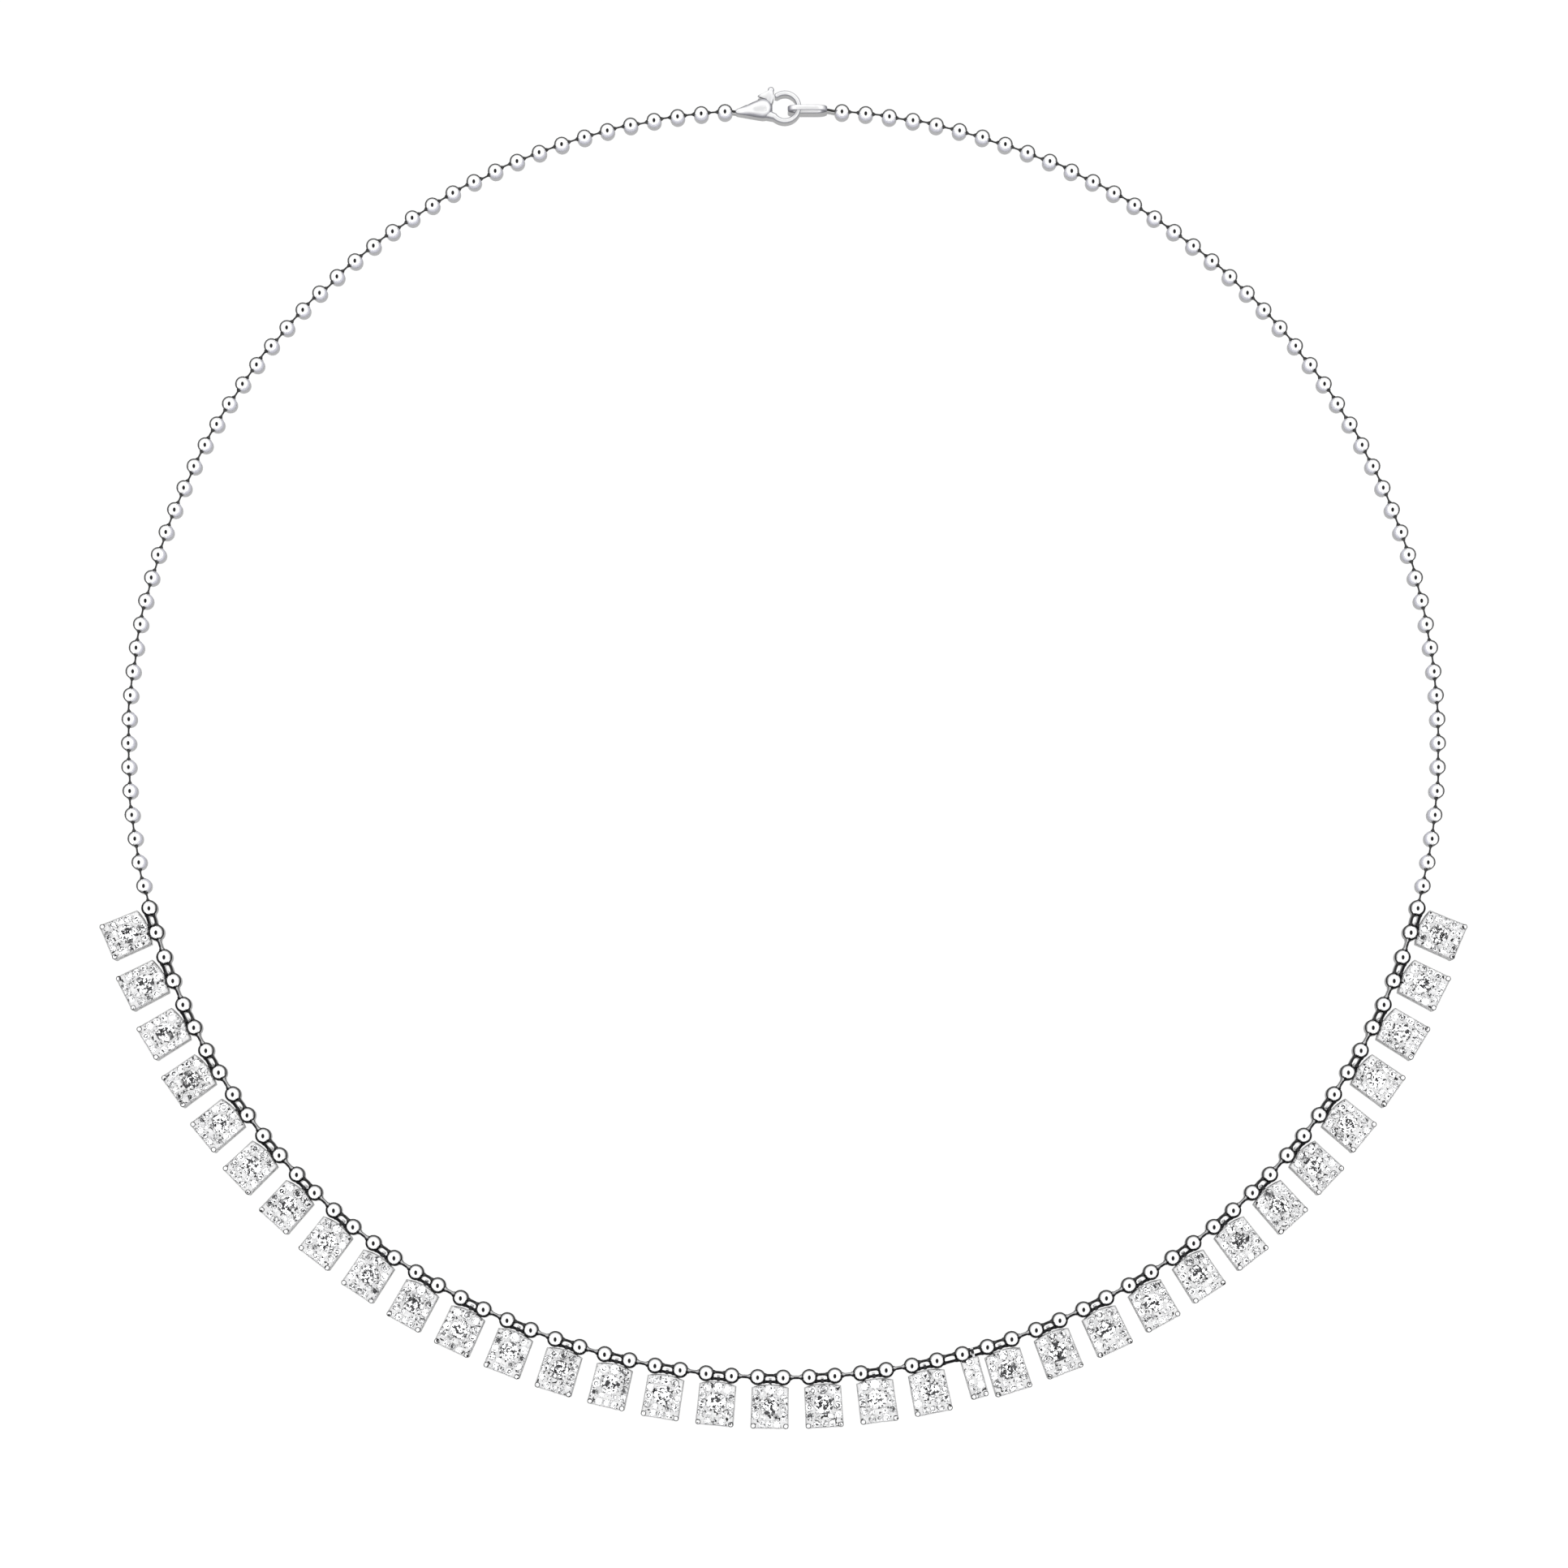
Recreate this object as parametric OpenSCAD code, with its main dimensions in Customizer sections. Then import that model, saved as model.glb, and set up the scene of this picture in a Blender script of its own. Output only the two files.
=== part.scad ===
/* [Line of the necklace] */
// Radius of the wide bow at the front
front_bow_r = 77.7; // [76.5:0.1:79]
// Length of half of the front bow, from the lowest point
front_bow_length = 41.7; // [40.5:0.1:43]
// Radius of the tighter bend on each side
shoulder_r = 69; // [68.5:0.1:69.5]
// Length of the tighter bend on each side
shoulder_length = 46.8; // [46:0.1:47.5]
// Radius of the back of the loop
back_r = 71.9; // [71.5:0.1:72.5]

/* [Front row] */
// Diameter of a front bead
front_bead_d = 1.8; // [1.7:0.02:1.84]
// Distance between the two beads of a pair
pair_pitch = 2.845; // [2.82:0.005:2.88]
// Distance from one pair to the next bead
gap_pitch = 2.918; // [2.9:0.002:2.95]
// Diameter of the wire between two pairs
link_wire_d = 0.4; // [0.3:0.02:0.46]
// Diameter of the two rails that join a pair
rail_d = 0.32; // [0.26:0.02:0.36]
// Distance of the outer rail from the bead line
outer_rail_offset = 0.49; // [0.47:0.01:0.52]
// Distance of the inner rail from the bead line
inner_rail_offset = 0.2; // [0.18:0.01:0.24]
// Full stations to the left of the narrow one
stations_left = 20; // [18:1:20]
// Full stations to the right of the narrow one
stations_right = 13; // [12:1:13]

/* [Plaque] */
// Width of a plaque at its outer end
plaque_w = 4.25; // [4.1:0.05:4.3]
// Width of a plaque at the bead end
plaque_top_w = 4.05; // [3.9:0.05:4.1]
// Distance from the rail to the outer edge
plaque_drop = 5.22; // [5.18:0.02:5.26]
// Height of the plate that the stones sit in
plate_h = 1.1; // [1:0.05:1.2]
// Radius of the two outer corners
corner_r = 0.36; // [0.3:0.02:0.42]
// Radius of the arched edge under the rails
arch_r = 5.9; // [5:0.1:8]
// Most that an end plaque slides along its rail
slide_max = 0.42; // [0:0.02:0.44]
// Most that an end plaque leans, in degrees
lean_max = 7; // [0:0.5:8]

/* [Back chain] */
// Diameter of a back bead
back_bead_d = 1.7; // [1.6:0.02:1.74]
// Distance between two back beads
back_pitch = 2.705; // [2.695:0.005:2.71]
// Distance from the front row's end bead to the first back bead
first_back_pitch = 2.604; // [2.56:0.004:2.68]
// Beads in each back length
back_beads = 47; // [46:1:47]

/* [Clasp] */
// Thickness of the clasp body
clasp_t = 1.9; // [1.8:0.05:2]
// Width of the slot that the lever moves in
slot_w = 0.8; // [0.75:0.05:0.85]
// Thickness of the lever
lever_t = 0.6; // [0.5:0.02:0.64]
// Thickness of the hook
hook_t = 0.55; // [0.5:0.05:0.55]
// Radius of the rivet
pin_r = 0.22; // [0.2:0.01:0.24]
// Radial play of the lever on the rivet
pin_play = 0.03; // [0.02:0.01:0.05]
// Length of the oval ring
ring_l = 4.5; // [4.3:0.1:4.6]
// Height of the oval ring as it stands
ring_h = 2.4; // [2.3:0.05:2.5]
// Width of the ring's flat band
ring_band_w = 0.6; // [0.5:0.05:0.7]
// Thickness of the ring's flat band
ring_band_t = 0.45; // [0.4:0.01:0.48]

/* [Hidden] */
$fn = 48;
metal = "whitesmoke";
bright = "gainsboro";

// Lowest point of the bead line, set so that the loop's box is centred on the origin
lowest_bead_y = -70.03;
front_bead_r = front_bead_d / 2;
back_bead_r = back_bead_d / 2;
// How far from a bead's centre the bars soldered to it end
bar_inset = 0.45;
// A free gap between two pieces that only meet
gap = 0.08;
// An overlap that makes soldered pieces one solid
fuse = 0.02;

// Bends of half the loop from the lowest point: [length, radius]
bends = [
    [front_bow_length, front_bow_r],
    [shoulder_length, shoulder_r],
    [1000, back_r]
];

// Angle in degrees turned along an arc
function turned(length, r) = length / r * 180 / PI;

// Where an arc that starts at a heading has moved to
function arc_step(length, r, heading) =
    let (last = heading + turned(length, r))
    r * [sin(last) - sin(heading), cos(heading) - cos(last)];

// Point and heading at a distance along the bends
function along(s, i = 0, p = [0, lowest_bead_y], heading = 0) =
    let (length = bends[i][0], r = bends[i][1])
    s <= length
        ? [p + arc_step(s, r, heading), heading + turned(s, r)]
        : along(s - length, i + 1, p + arc_step(length, r, heading), heading + turned(length, r));

// Point and heading on the bead line: s is negative left of the lowest point
function on_line(s) =
    let (half = along(abs(s)))
    s < 0 ? [[-half[0][0], half[0][1]], -half[1]] : half;

// Front beads are numbered from the left end, and each full station hangs on a pair
narrow_bead = 2 * stations_left;
front_beads = 2 * stations_left + 1 + 2 * stations_right;
stations = stations_left + stations_right;

// Pairs that lie whole to the left of a bead, with a pair that the bead ends
function pairs_before(i) =
    i <= narrow_bead ? ceil(i / 2) : stations_left + ceil((i - narrow_bead - 1) / 2);
function row_length(i) = pairs_before(i) * pair_pitch + (i - pairs_before(i)) * gap_pitch;
front_half = row_length(front_beads - 1) / 2;
function bead_at(i) = on_line(row_length(i) - front_half)[0];
function bead_heading(i) = on_line(row_length(i) - front_half)[1];
function first_bead(station) = station < stations_left ? 2 * station : 2 * station + 1;

// Heading of the straight line between two points
function heading_of(a, b) = atan2(b[1] - a[1], b[0] - a[0]);

// Share of the full lean at a heading: plaques near the ends sag towards the lowest point
end_heading = along(front_half)[1];
function lean_share(heading) = -sign(heading) * pow(abs(heading) / end_heading, 1.5);

// The back lengths run from just past the front row's end to the last bead
back_start = front_half + first_back_pitch - back_bead_r;
back_end = front_half + first_back_pitch + (back_beads - 1) * back_pitch + back_bead_r;
chain_rings = 37;
chain_sides = 8;
chain_flat_r = back_bead_r / cos(180 / chain_sides);

// Stones of a plaque, from the rail's centre line: [across, along the drop, diameter]
middle_stones = [
    [0, -2.62, 2.16],
    [0, -0.9, 1.14],
    [0, -4.7, 0.78]
];
side_stones = [
    [1.12, -1.06, 0.92],
    [1.58, -1.9, 0.9],
    [1.6, -2.85, 0.9],
    [1.58, -3.8, 0.9],
    [0.83, -4.72, 0.78],
    [0.72, -3.95, 0.62]
];
function mirrored(rows) = [for (row = rows) [-row[0], row[1], row[2]]];
plaque_stones = concat(middle_stones, side_stones, mirrored(side_stones));
// The narrow plaque holds one side of the same chart, and its rail point is nearer its inner edge
narrow_w = 2;
narrow_shift = -0.55;
narrow_gap = 0.61;
narrow_slide = -0.3;
narrow_stones = concat(
    [for (row = side_stones) [row[0] - plaque_w / 2 + narrow_w / 2, row[1], row[2]]],
    [[-0.5, -2.35, 0.84], [-0.5, -3.25, 0.7]]
);
claw_r = 0.3;
claw_top = 0.22;
seat_depth = 0.55;
back_hole_share = 0.6;
bail_r = 0.41;
bail_hole_r = 0.24;
bail_w = 0.3;
plaque_gap = 0.27;

// Clasp outline, from the tip of its tail
tail_r = 0.28;
tail = [0.28, 0];
belly_r = 1.1;
belly = [3.1, 0.35];
loop_centre = [5.6, 0.48];
loop_r = 1.85;
loop_hole_centre = [5.6, 0.58];
loop_hole_r = 1.33;
hook_tip_angle = 132;
mouth_end_angle = 188;
pivot = [3.45, 0.1];
boss_r = 0.4;
lever_sweep_r = 2.19;
arm_end = [4.02, 1.5];
arm_end_r = 0.3;
thumb_ball = [4.03, 2.45];
thumb_ball_r = 0.36;
clasp_mid = clasp_t / 2;
// The clasp's outline starts beyond the last bead of the left length
line_end = on_line(back_end - back_bead_r)[0];
tail_reach = 1.18;
clasp_at = [-line_end[0] + tail_reach, line_end[1]];
ring_at = [5.92, 0.25];
end_wire_r = 0.15;
tail_wire_start = -tail_reach + back_bead_r + gap;
ring_wire_end = 2 * line_end[0] - tail_reach - back_bead_r - gap;

// Beads where one solid of the front row ends and the next begins
row_breaks = [0, 14, 28, narrow_bead + 1, narrow_bead + 15, front_beads];
rows = len(row_breaks) - 1;
function two_digits(n) = n < 10 ? str("0", n) : str(n);
row_names = [for (n = [1:rows]) str("beaded_row_", n)];
station_names = [for (n = [1:stations]) str("station_", two_digits(n))];

// A tube along the bead line, swept as rings of flats that touch the ground
module chain(side) {
    step = (back_end - back_start) / (chain_rings - 1);
    rings = [
        for (i = [0:chain_rings - 1])
        let (place = on_line(side * (back_start + i * step)), across = place[1] + 90)
        for (j = [0:chain_sides - 1])
        let (a = (j + 0.5) * 360 / chain_sides, out = chain_flat_r * cos(a))
        [
            place[0][0] + out * cos(across),
            place[0][1] + out * sin(across),
            back_bead_r + chain_flat_r * sin(a)
        ]
    ];
    walls = [
        for (i = [0:chain_rings - 2], j = [0:chain_sides - 1])
        let (a = i * chain_sides + j, b = i * chain_sides + (j + 1) % chain_sides)
        [a, a + chain_sides, b + chain_sides, b]
    ];
    first_end = [for (j = [0:chain_sides - 1]) j];
    last_end = [for (j = [chain_sides - 1:-1:0]) (chain_rings - 1) * chain_sides + j];
    faces = concat(walls, [first_end, last_end]);
    turned_faces = [for (face = faces) [for (k = [len(face) - 1:-1:0]) face[k]]];
    color(bright) polyhedron(rings, side > 0 ? faces : turned_faces);
}

// A straight round bar between two points of the ground plan, at one height
module bar(a, b, r, height) {
    translate([a[0], a[1], height])
        rotate([0, 0, heading_of(a, b)])
            rotate([0, 90, 0])
                cylinder(h = norm(b - a), r = r);
}

// A round bar between two beads, let a little way into each of them
module bead_bar(a, b, offset, r) {
    across = heading_of(a, b) + 90;
    shift = offset * [cos(across), sin(across)];
    inset = bar_inset / norm(b - a) * (b - a);
    bar(a + inset + shift, b - inset + shift, r, front_bead_r);
}

// The two rails that are soldered between the beads of a pair
module rails(a, b) {
    bead_bar(a, b, inner_rail_offset, rail_d / 2);
    bead_bar(a, b, -outer_rail_offset, rail_d / 2);
}

function is_pair(i) = i < narrow_bead ? i % 2 == 0 : i > narrow_bead && (i - narrow_bead) % 2 == 1;

// Beads, rails and link wires of one stretch of the front row
module beaded_row(part) {
    from = row_breaks[part];
    to = row_breaks[part + 1] - 1;
    color(metal) {
        for (i = [from:to])
            translate([bead_at(i)[0], bead_at(i)[1], front_bead_r])
                rotate([0, 0, bead_heading(i) + 90])
                    sphere(r = front_bead_r);
        for (i = [from:to])
            if (i < to && (is_pair(i) || i == narrow_bead - 1))
                rails(bead_at(i), bead_at(i + 1));
            else if (i < to)
                bead_bar(bead_at(i), bead_at(i + 1), 0, link_wire_d / 2);
            else
                row_end_wire(i, 1);
        if (from == 0) row_end_wire(0, -1);
    }
}

// The wire that leaves a solid of the row and stops just short of what comes next
module row_end_wire(i, way) {
    last = i == 0 || i == front_beads - 1;
    here = bead_at(i);
    next = last ? on_line(way * (front_half + first_back_pitch))[0] : bead_at(i + way);
    reach = norm(next - here) - (last ? back_bead_r : front_bead_r) - gap;
    out = (next - here) / norm(next - here);
    bar(here + bar_inset * out, here + reach * out, link_wire_d / 2, front_bead_r);
}

// Ground plan of a plaque that hangs from the rail at the origin
module plaque_plan(top_w, outer_w, left_shift, top_gap) {
    intersection() {
        union() {
            translate([left_shift, 0])
                polygon([
                    [-top_w / 2, 0], [top_w / 2, 0],
                    [outer_w / 2, -plaque_drop + corner_r], [outer_w / 2 - corner_r, -plaque_drop],
                    [-outer_w / 2 + corner_r, -plaque_drop], [-outer_w / 2, -plaque_drop + corner_r]
                ]);
            for (side = [-1, 1])
                translate([left_shift + side * (outer_w / 2 - corner_r), -plaque_drop + corner_r])
                    circle(r = corner_r);
        }
        translate([left_shift, -arch_r - top_gap]) circle(r = arch_r);
    }
}

// Conical seat with a round hole through the back, for one stone
module seat(d) {
    translate([0, 0, -1]) cylinder(h = plate_h + 2, r = back_hole_share * d / 2);
    translate([0, 0, plate_h - seat_depth * d / 2])
        cylinder(h = seat_depth * d / 2 + fuse, r1 = back_hole_share * d / 2, r2 = d / 2);
}

// The little ring that goes round the rail, with a tongue that runs into the plate
module bail(top_gap) {
    tongue_w = bail_w - 2 * fuse;
    translate([0, 0, front_bead_r])
        rotate([0, 90, 0])
            cylinder(h = bail_w, r = bail_r, center = true);
    translate([-tongue_w / 2, -top_gap - bail_w, plate_h - bail_w - fuse])
        cube([tongue_w, top_gap, bail_w]);
}

// Plate, claws and bail of a plaque in its own frame, with its seats drilled
module plaque_solid(top_w, outer_w, left_shift, top_gap, stones) {
    claw_x = outer_w / 2 - claw_r;
    difference() {
        union() {
            linear_extrude(plate_h) plaque_plan(top_w, outer_w, left_shift, top_gap);
            for (side = [-1, 1])
                translate([left_shift + side * claw_x, -plaque_drop + claw_r, 0]) {
                    cylinder(h = plate_h + claw_top, r = claw_r);
                    translate([0, 0, plate_h + claw_top]) sphere(r = claw_r);
                }
            bail(top_gap);
        }
        for (row = stones)
            translate([left_shift + row[0], row[1], 0]) seat(row[2]);
        translate([0, 0, front_bead_r])
            rotate([0, 90, 0])
                cylinder(h = 2 * bail_w, r = bail_hole_r, center = true);
    }
}

// Hollows that keep a plaque clear of two beads on the line above it
module bead_relief(a, b) {
    for (p = [a, b])
        translate([p[0], p[1], front_bead_r]) sphere(r = front_bead_r + gap);
}

// A full plaque on its pair of beads
module station(n) {
    a = bead_at(first_bead(n));
    b = bead_at(first_bead(n) + 1);
    heading = heading_of(a, b);
    share = lean_share(heading);
    color(metal)
        translate([(a[0] + b[0]) / 2, (a[1] + b[1]) / 2, 0])
            rotate([0, 0, heading])
                difference() {
                    translate([share * slide_max, -outer_rail_offset, 0])
                        rotate([0, 0, share * lean_max])
                            plaque_solid(plaque_top_w, plaque_w, 0, plaque_gap, plaque_stones);
                    bead_relief([-pair_pitch / 2, 0], [pair_pitch / 2, 0]);
                }
}

// The half-width plaque hangs on the wire beside the single bead
module narrow_station() {
    a = bead_at(narrow_bead);
    b = bead_at(narrow_bead + 1);
    color(metal)
        translate([(a[0] + b[0]) / 2, (a[1] + b[1]) / 2, 0])
            rotate([0, 0, heading_of(a, b)])
                difference() {
                    translate([narrow_slide, 0, 0])
                        plaque_solid(narrow_w, narrow_w, narrow_shift, narrow_gap, narrow_stones);
                    bead_relief([-gap_pitch / 2, 0], [gap_pitch / 2, 0]);
                }
}

// Outline of two circles joined by their common tangents
module tapered_bar(a, ra, b, rb) {
    heading = heading_of(a, b);
    spread = acos((ra - rb) / norm(b - a));
    translate(a) circle(r = ra);
    translate(b) circle(r = rb);
    polygon([
        for (end = [[a, ra, 1], [a, ra, -1], [b, rb, -1], [b, rb, 1]])
        end[0] + end[1] * [cos(heading + end[2] * spread), sin(heading + end[2] * spread)]
    ]);
}

// Sector of a circle, as a polygon that reaches past it
module sector(centre, r, from, to) {
    steps = 8;
    polygon(concat(
        [centre],
        [for (i = [0:steps]) let (a = from + (to - from) * i / steps) centre + r * [cos(a), sin(a)]]
    ));
}

// Ground plan of the clasp body with its fixed hook
module clasp_plan() {
    hook_root = [[2.9, -0.73], [4.6, -1.08], [5, -0.4], [3.4, 0]];
    mouth_r = 3;
    tapered_bar(tail, tail_r, belly, belly_r);
    difference() {
        union() {
            translate(loop_centre) circle(r = loop_r);
            polygon(hook_root);
        }
        translate(loop_hole_centre) circle(r = loop_hole_r);
        sector(loop_centre, mouth_r, hook_tip_angle, mouth_end_angle);
    }
}

// Side view of the clasp: a thin tail, a full body and a thin hook
module clasp_side() {
    tail_half = 0.3;
    hook_half = hook_t / 2;
    tail_from = -0.2;
    tail_to = 0.3;
    cheeks_from = 2.2;
    cheeks_to = 3.75;
    hook_from = 4.3;
    hook_to = 8;
    polygon([
        [tail_from, clasp_mid - tail_half], [tail_to, clasp_mid - tail_half],
        [cheeks_from, 0], [cheeks_to, 0],
        [hook_from, clasp_mid - hook_half], [hook_to, clasp_mid - hook_half],
        [hook_to, clasp_mid + hook_half], [hook_from, clasp_mid + hook_half],
        [cheeks_to, clasp_t], [cheeks_from, clasp_t], [tail_to, clasp_mid + tail_half],
        [tail_from, clasp_mid + tail_half]
    ]);
}

// The space between the cheeks that the lever turns in
module lever_space() {
    sweep_from = 75;
    sweep_to = 164;
    translate([0, 0, clasp_mid - slot_w / 2])
        linear_extrude(slot_w) {
            tapered_bar(pivot, boss_r + gap, arm_end, arm_end_r + gap);
            sector(pivot, lever_sweep_r, sweep_from, sweep_to);
        }
}

module clasp_body() {
    color(bright)
        translate([clasp_at[0], clasp_at[1], 0]) {
            difference() {
                intersection() {
                    linear_extrude(clasp_t) clasp_plan();
                    translate([0, 4, 0]) rotate([90, 0, 0]) linear_extrude(8) clasp_side();
                }
                lever_space();
                translate([pivot[0], pivot[1], -1]) cylinder(h = clasp_t + 2, r = pin_r + fuse);
            }
            bar([tail_wire_start, 0], [0.4, 0], end_wire_r, back_bead_r);
        }
}

// Ground plan of the lever: boss, arm that closes the mouth, and thumb fin
module lever_plan() {
    fin_tip = [2.62, 1.74];
    fin_tip_r = 0.1;
    fin_root = [3.4, 1.3];
    neck_right = [0.2, 0];
    neck_left = [-0.25, 0];
    tapered_bar(pivot, boss_r, arm_end, arm_end_r);
    polygon([fin_tip, fin_root, arm_end + [arm_end_r, 0], thumb_ball + neck_right, thumb_ball + neck_left]);
    translate(fin_tip) circle(r = fin_tip_r);
}

module clasp_lever() {
    color(bright)
        translate([clasp_at[0], clasp_at[1], 0])
            difference() {
                union() {
                    translate([0, 0, clasp_mid - lever_t / 2]) linear_extrude(lever_t) lever_plan();
                    translate([thumb_ball[0], thumb_ball[1], clasp_mid]) sphere(r = thumb_ball_r);
                }
                translate([pivot[0], pivot[1], -1]) cylinder(h = clasp_t + 2, r = pin_r + pin_play);
            }
}

module clasp_pin() {
    color(bright)
        translate([clasp_at[0] + pivot[0], clasp_at[1] + pivot[1], fuse])
            cylinder(h = clasp_t - 2 * fuse, r = pin_r);
}

// Outline of an oval with straight sides, standing on the ground
module oval(l, h, lift) {
    for (side = [-1, 1])
        translate([side * (l - h) / 2, lift + h / 2]) circle(r = h / 2);
    translate([-(l - h) / 2, lift]) square([l - h, h]);
}

module clasp_ring() {
    middle = clasp_at + ring_at + [ring_l / 2, 0];
    color(bright) {
        translate([middle[0], middle[1] + ring_band_w / 2, 0])
            rotate([90, 0, 0])
                linear_extrude(ring_band_w)
                    difference() {
                        oval(ring_l, ring_h, 0);
                        oval(ring_l - 2 * ring_band_t, ring_h - 2 * ring_band_t, ring_band_t);
                    }
        bar(
            clasp_at + ring_at + [ring_l - ring_band_t / 2, 0],
            clasp_at + [ring_wire_end, 0],
            end_wire_r,
            back_bead_r
        );
    }
}

chain(-1);  // chain_left
chain(1);  // chain_right
for (part = [0:rows - 1])
    beaded_row(part);
for (n = [0:stations - 1])
    station(n);
narrow_station();
clasp_body();
clasp_lever();
clasp_pin();
clasp_ring();
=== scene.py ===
import bpy
import numpy as np
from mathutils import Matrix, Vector


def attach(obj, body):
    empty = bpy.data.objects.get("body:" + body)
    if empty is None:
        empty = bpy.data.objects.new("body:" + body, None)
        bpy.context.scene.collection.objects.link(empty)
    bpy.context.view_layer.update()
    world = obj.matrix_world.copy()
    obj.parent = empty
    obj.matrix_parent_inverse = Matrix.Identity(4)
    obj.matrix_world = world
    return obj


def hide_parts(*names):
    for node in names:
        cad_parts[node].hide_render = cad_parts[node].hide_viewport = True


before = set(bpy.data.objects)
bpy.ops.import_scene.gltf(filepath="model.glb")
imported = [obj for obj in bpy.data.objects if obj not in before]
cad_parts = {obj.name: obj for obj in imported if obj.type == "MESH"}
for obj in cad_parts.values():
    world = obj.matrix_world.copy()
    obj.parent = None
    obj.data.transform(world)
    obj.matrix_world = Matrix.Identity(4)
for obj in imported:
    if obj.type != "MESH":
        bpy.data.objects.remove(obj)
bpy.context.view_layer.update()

# The front row carries everything else: sixty-seven balls of white gold, 1.8 mm across, drilled and
# soldered two and two between a pair of short rails. A single heavier wire joins each pair to the next
# one, and the finished row is polished and plated with rhodium.
MM = 0.001
ROW_LOW = -70.03
# The length and the radius of each arc, from the lowest point outwards.
ROW_BENDS = np.array([[41.7, 77.7], [46.8, 69.0], [1000.0, 71.9]])
PAIRS, PAIRS_LEFT = 33, 20
PAIR_PITCH, GAP_PITCH = 2.845, 2.918
NARROW_BALL = 2 * PAIRS_LEFT
FRONT_BALL_R, FRONT_BORE_R = 0.9, 0.16
BALL_RINGS, BALL_SIDES = 19, 32


def on_line(s):
    """Points and headings at distances along the necklace. Three arcs of one length and radius each
    follow on from the lowest point. An arc turns by its length over its radius, and between the
    headings a and b it moves by r (sin b - sin a, cos a - cos b). Left of the lowest point, where the
    distance is negative, the point and the heading are mirrored."""
    length, radius = ROW_BENDS.T
    start = np.append(0, np.cumsum(length[:-1]))
    a = np.append(0, np.cumsum(length[:-1] / radius[:-1]))
    gone = np.clip(np.abs(s)[..., None] - start, 0, length)
    b = a + gone / radius
    x = (radius * (np.sin(b) - np.sin(a))).sum(-1)
    y = ROW_LOW + (radius * (np.cos(a) - np.cos(b))).sum(-1)
    side = np.where(s < 0, -1, 1)
    return np.stack([side * x, y], -1), side * (b - a).sum(-1)


def raised(plan, z):
    """Points of the ground plan, lifted to a height."""
    return np.concatenate([plan, np.broadcast_to(z, plan.shape[:-1])[..., None]], -1)


def unit(v):
    """Vectors of length one in the same directions."""
    return v / np.linalg.norm(v, axis=-1, keepdims=True)


def drawn(path, radius, sides, rise=None, over=(0.0, 0.0, 1.0)):
    """A round section drawn along paths, shaped (copies, rings, 3). Each ring stands across its path's
    tangent: at the angle u it is the path's point, plus the radius times cos u to the left, plus the
    rise times sin u upwards. Left is the cross product of the direction over it and the tangent."""
    tangent = unit(np.gradient(path, axis=1))
    left = unit(np.cross(np.broadcast_to(over, tangent.shape), tangent))
    up = np.cross(tangent, left)
    u = np.arange(sides) * 2 * np.pi / sides
    rise = radius if rise is None else rise
    wide = np.broadcast_to(radius, path.shape[:2])[..., None, None] * np.cos(u)[:, None]
    high = np.broadcast_to(rise, path.shape[:2])[..., None, None] * np.sin(u)[:, None]
    return path[:, :, None] + wide * left[:, :, None] + high * up[:, :, None]


def skin(rings, first):
    """Faces over rings of points, shaped (..., rings, sides, 3), whose points count from first. Four
    neighbours make a wall, and the first and the last ring of each copy are filled."""
    levels, sides = rings.shape[-3:-1]
    n = first + np.arange(rings.size // 3).reshape(-1, levels, sides)
    a, b = n[:, :-1], n[:, 1:]
    walls = np.stack([a, np.roll(a, -1, 2), np.roll(b, -1, 2), b], -1).reshape(-1, 4)
    ends = np.concatenate([n[:, 0, ::-1], n[:, -1]])
    return walls.tolist() + ends.tolist()


def joined(name, points, faces, finish, body="necklace", slot="white_gold", crease=40, **marks):
    """One piece of the necklace from points in millimetres and faces. Edges sharper than the crease
    angle stay sharp, and the rest is shaded as one surface. A mark is a number that the finish reads,
    one for each point or for each face."""
    mesh = bpy.data.meshes.new(name)
    mesh.from_pydata((points * MM).tolist(), [], faces)
    for mark, values in marks.items():
        domain = "POINT" if len(values) == len(points) else "FACE"
        mesh.attributes.new(mark, "FLOAT", domain).data.foreach_set("value", values)
    mesh.polygons.foreach_set("use_smooth", np.ones(len(mesh.polygons), bool))
    mesh.set_sharp_from_angle(angle=np.radians(crease))
    mesh.materials.append(finish)
    mesh.update()
    piece = bpy.data.objects.new(name, mesh)
    bpy.context.scene.collection.objects.link(piece)
    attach(piece, body)
    return piece


def wrought(name, shells, finish, **how):
    """One piece made of several lots of closed skins over rings."""
    points, faces, count = [], [], 0
    for rings in shells:
        points.append(rings.reshape(-1, 3))
        faces += skin(rings, count)
        count += len(points[-1])
    return joined(name, np.concatenate(points), faces, finish, **how)


class Value:
    """A number that changes over a surface. It wraps a socket, and sums on it add Math nodes."""

    def __init__(self, socket):
        self.socket = socket

    def maths(self, operation, a, b, clamp=False):
        """A Math node on two numbers or values."""
        node = self.socket.id_data.nodes.new("ShaderNodeMath")
        node.operation = operation
        node.use_clamp = clamp
        for place, value in zip(node.inputs, (a, b)):
            if isinstance(value, Value):
                self.socket.id_data.links.new(value.socket, place)
            else:
                place.default_value = value
        return Value(node.outputs[0])

    def __add__(self, other):
        return self.maths("ADD", self, other)

    def __sub__(self, other):
        return self.maths("SUBTRACT", self, other)

    def __rsub__(self, other):
        return self.maths("SUBTRACT", other, self)

    def __mul__(self, other):
        return self.maths("MULTIPLY", self, other)

    __radd__, __rmul__ = __add__, __mul__

    def between(self, low, high):
        """0 below low, 1 above high, and a straight rise between them."""
        return self.maths("MULTIPLY", self - low, 1 / (high - low), clamp=True)


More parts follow.
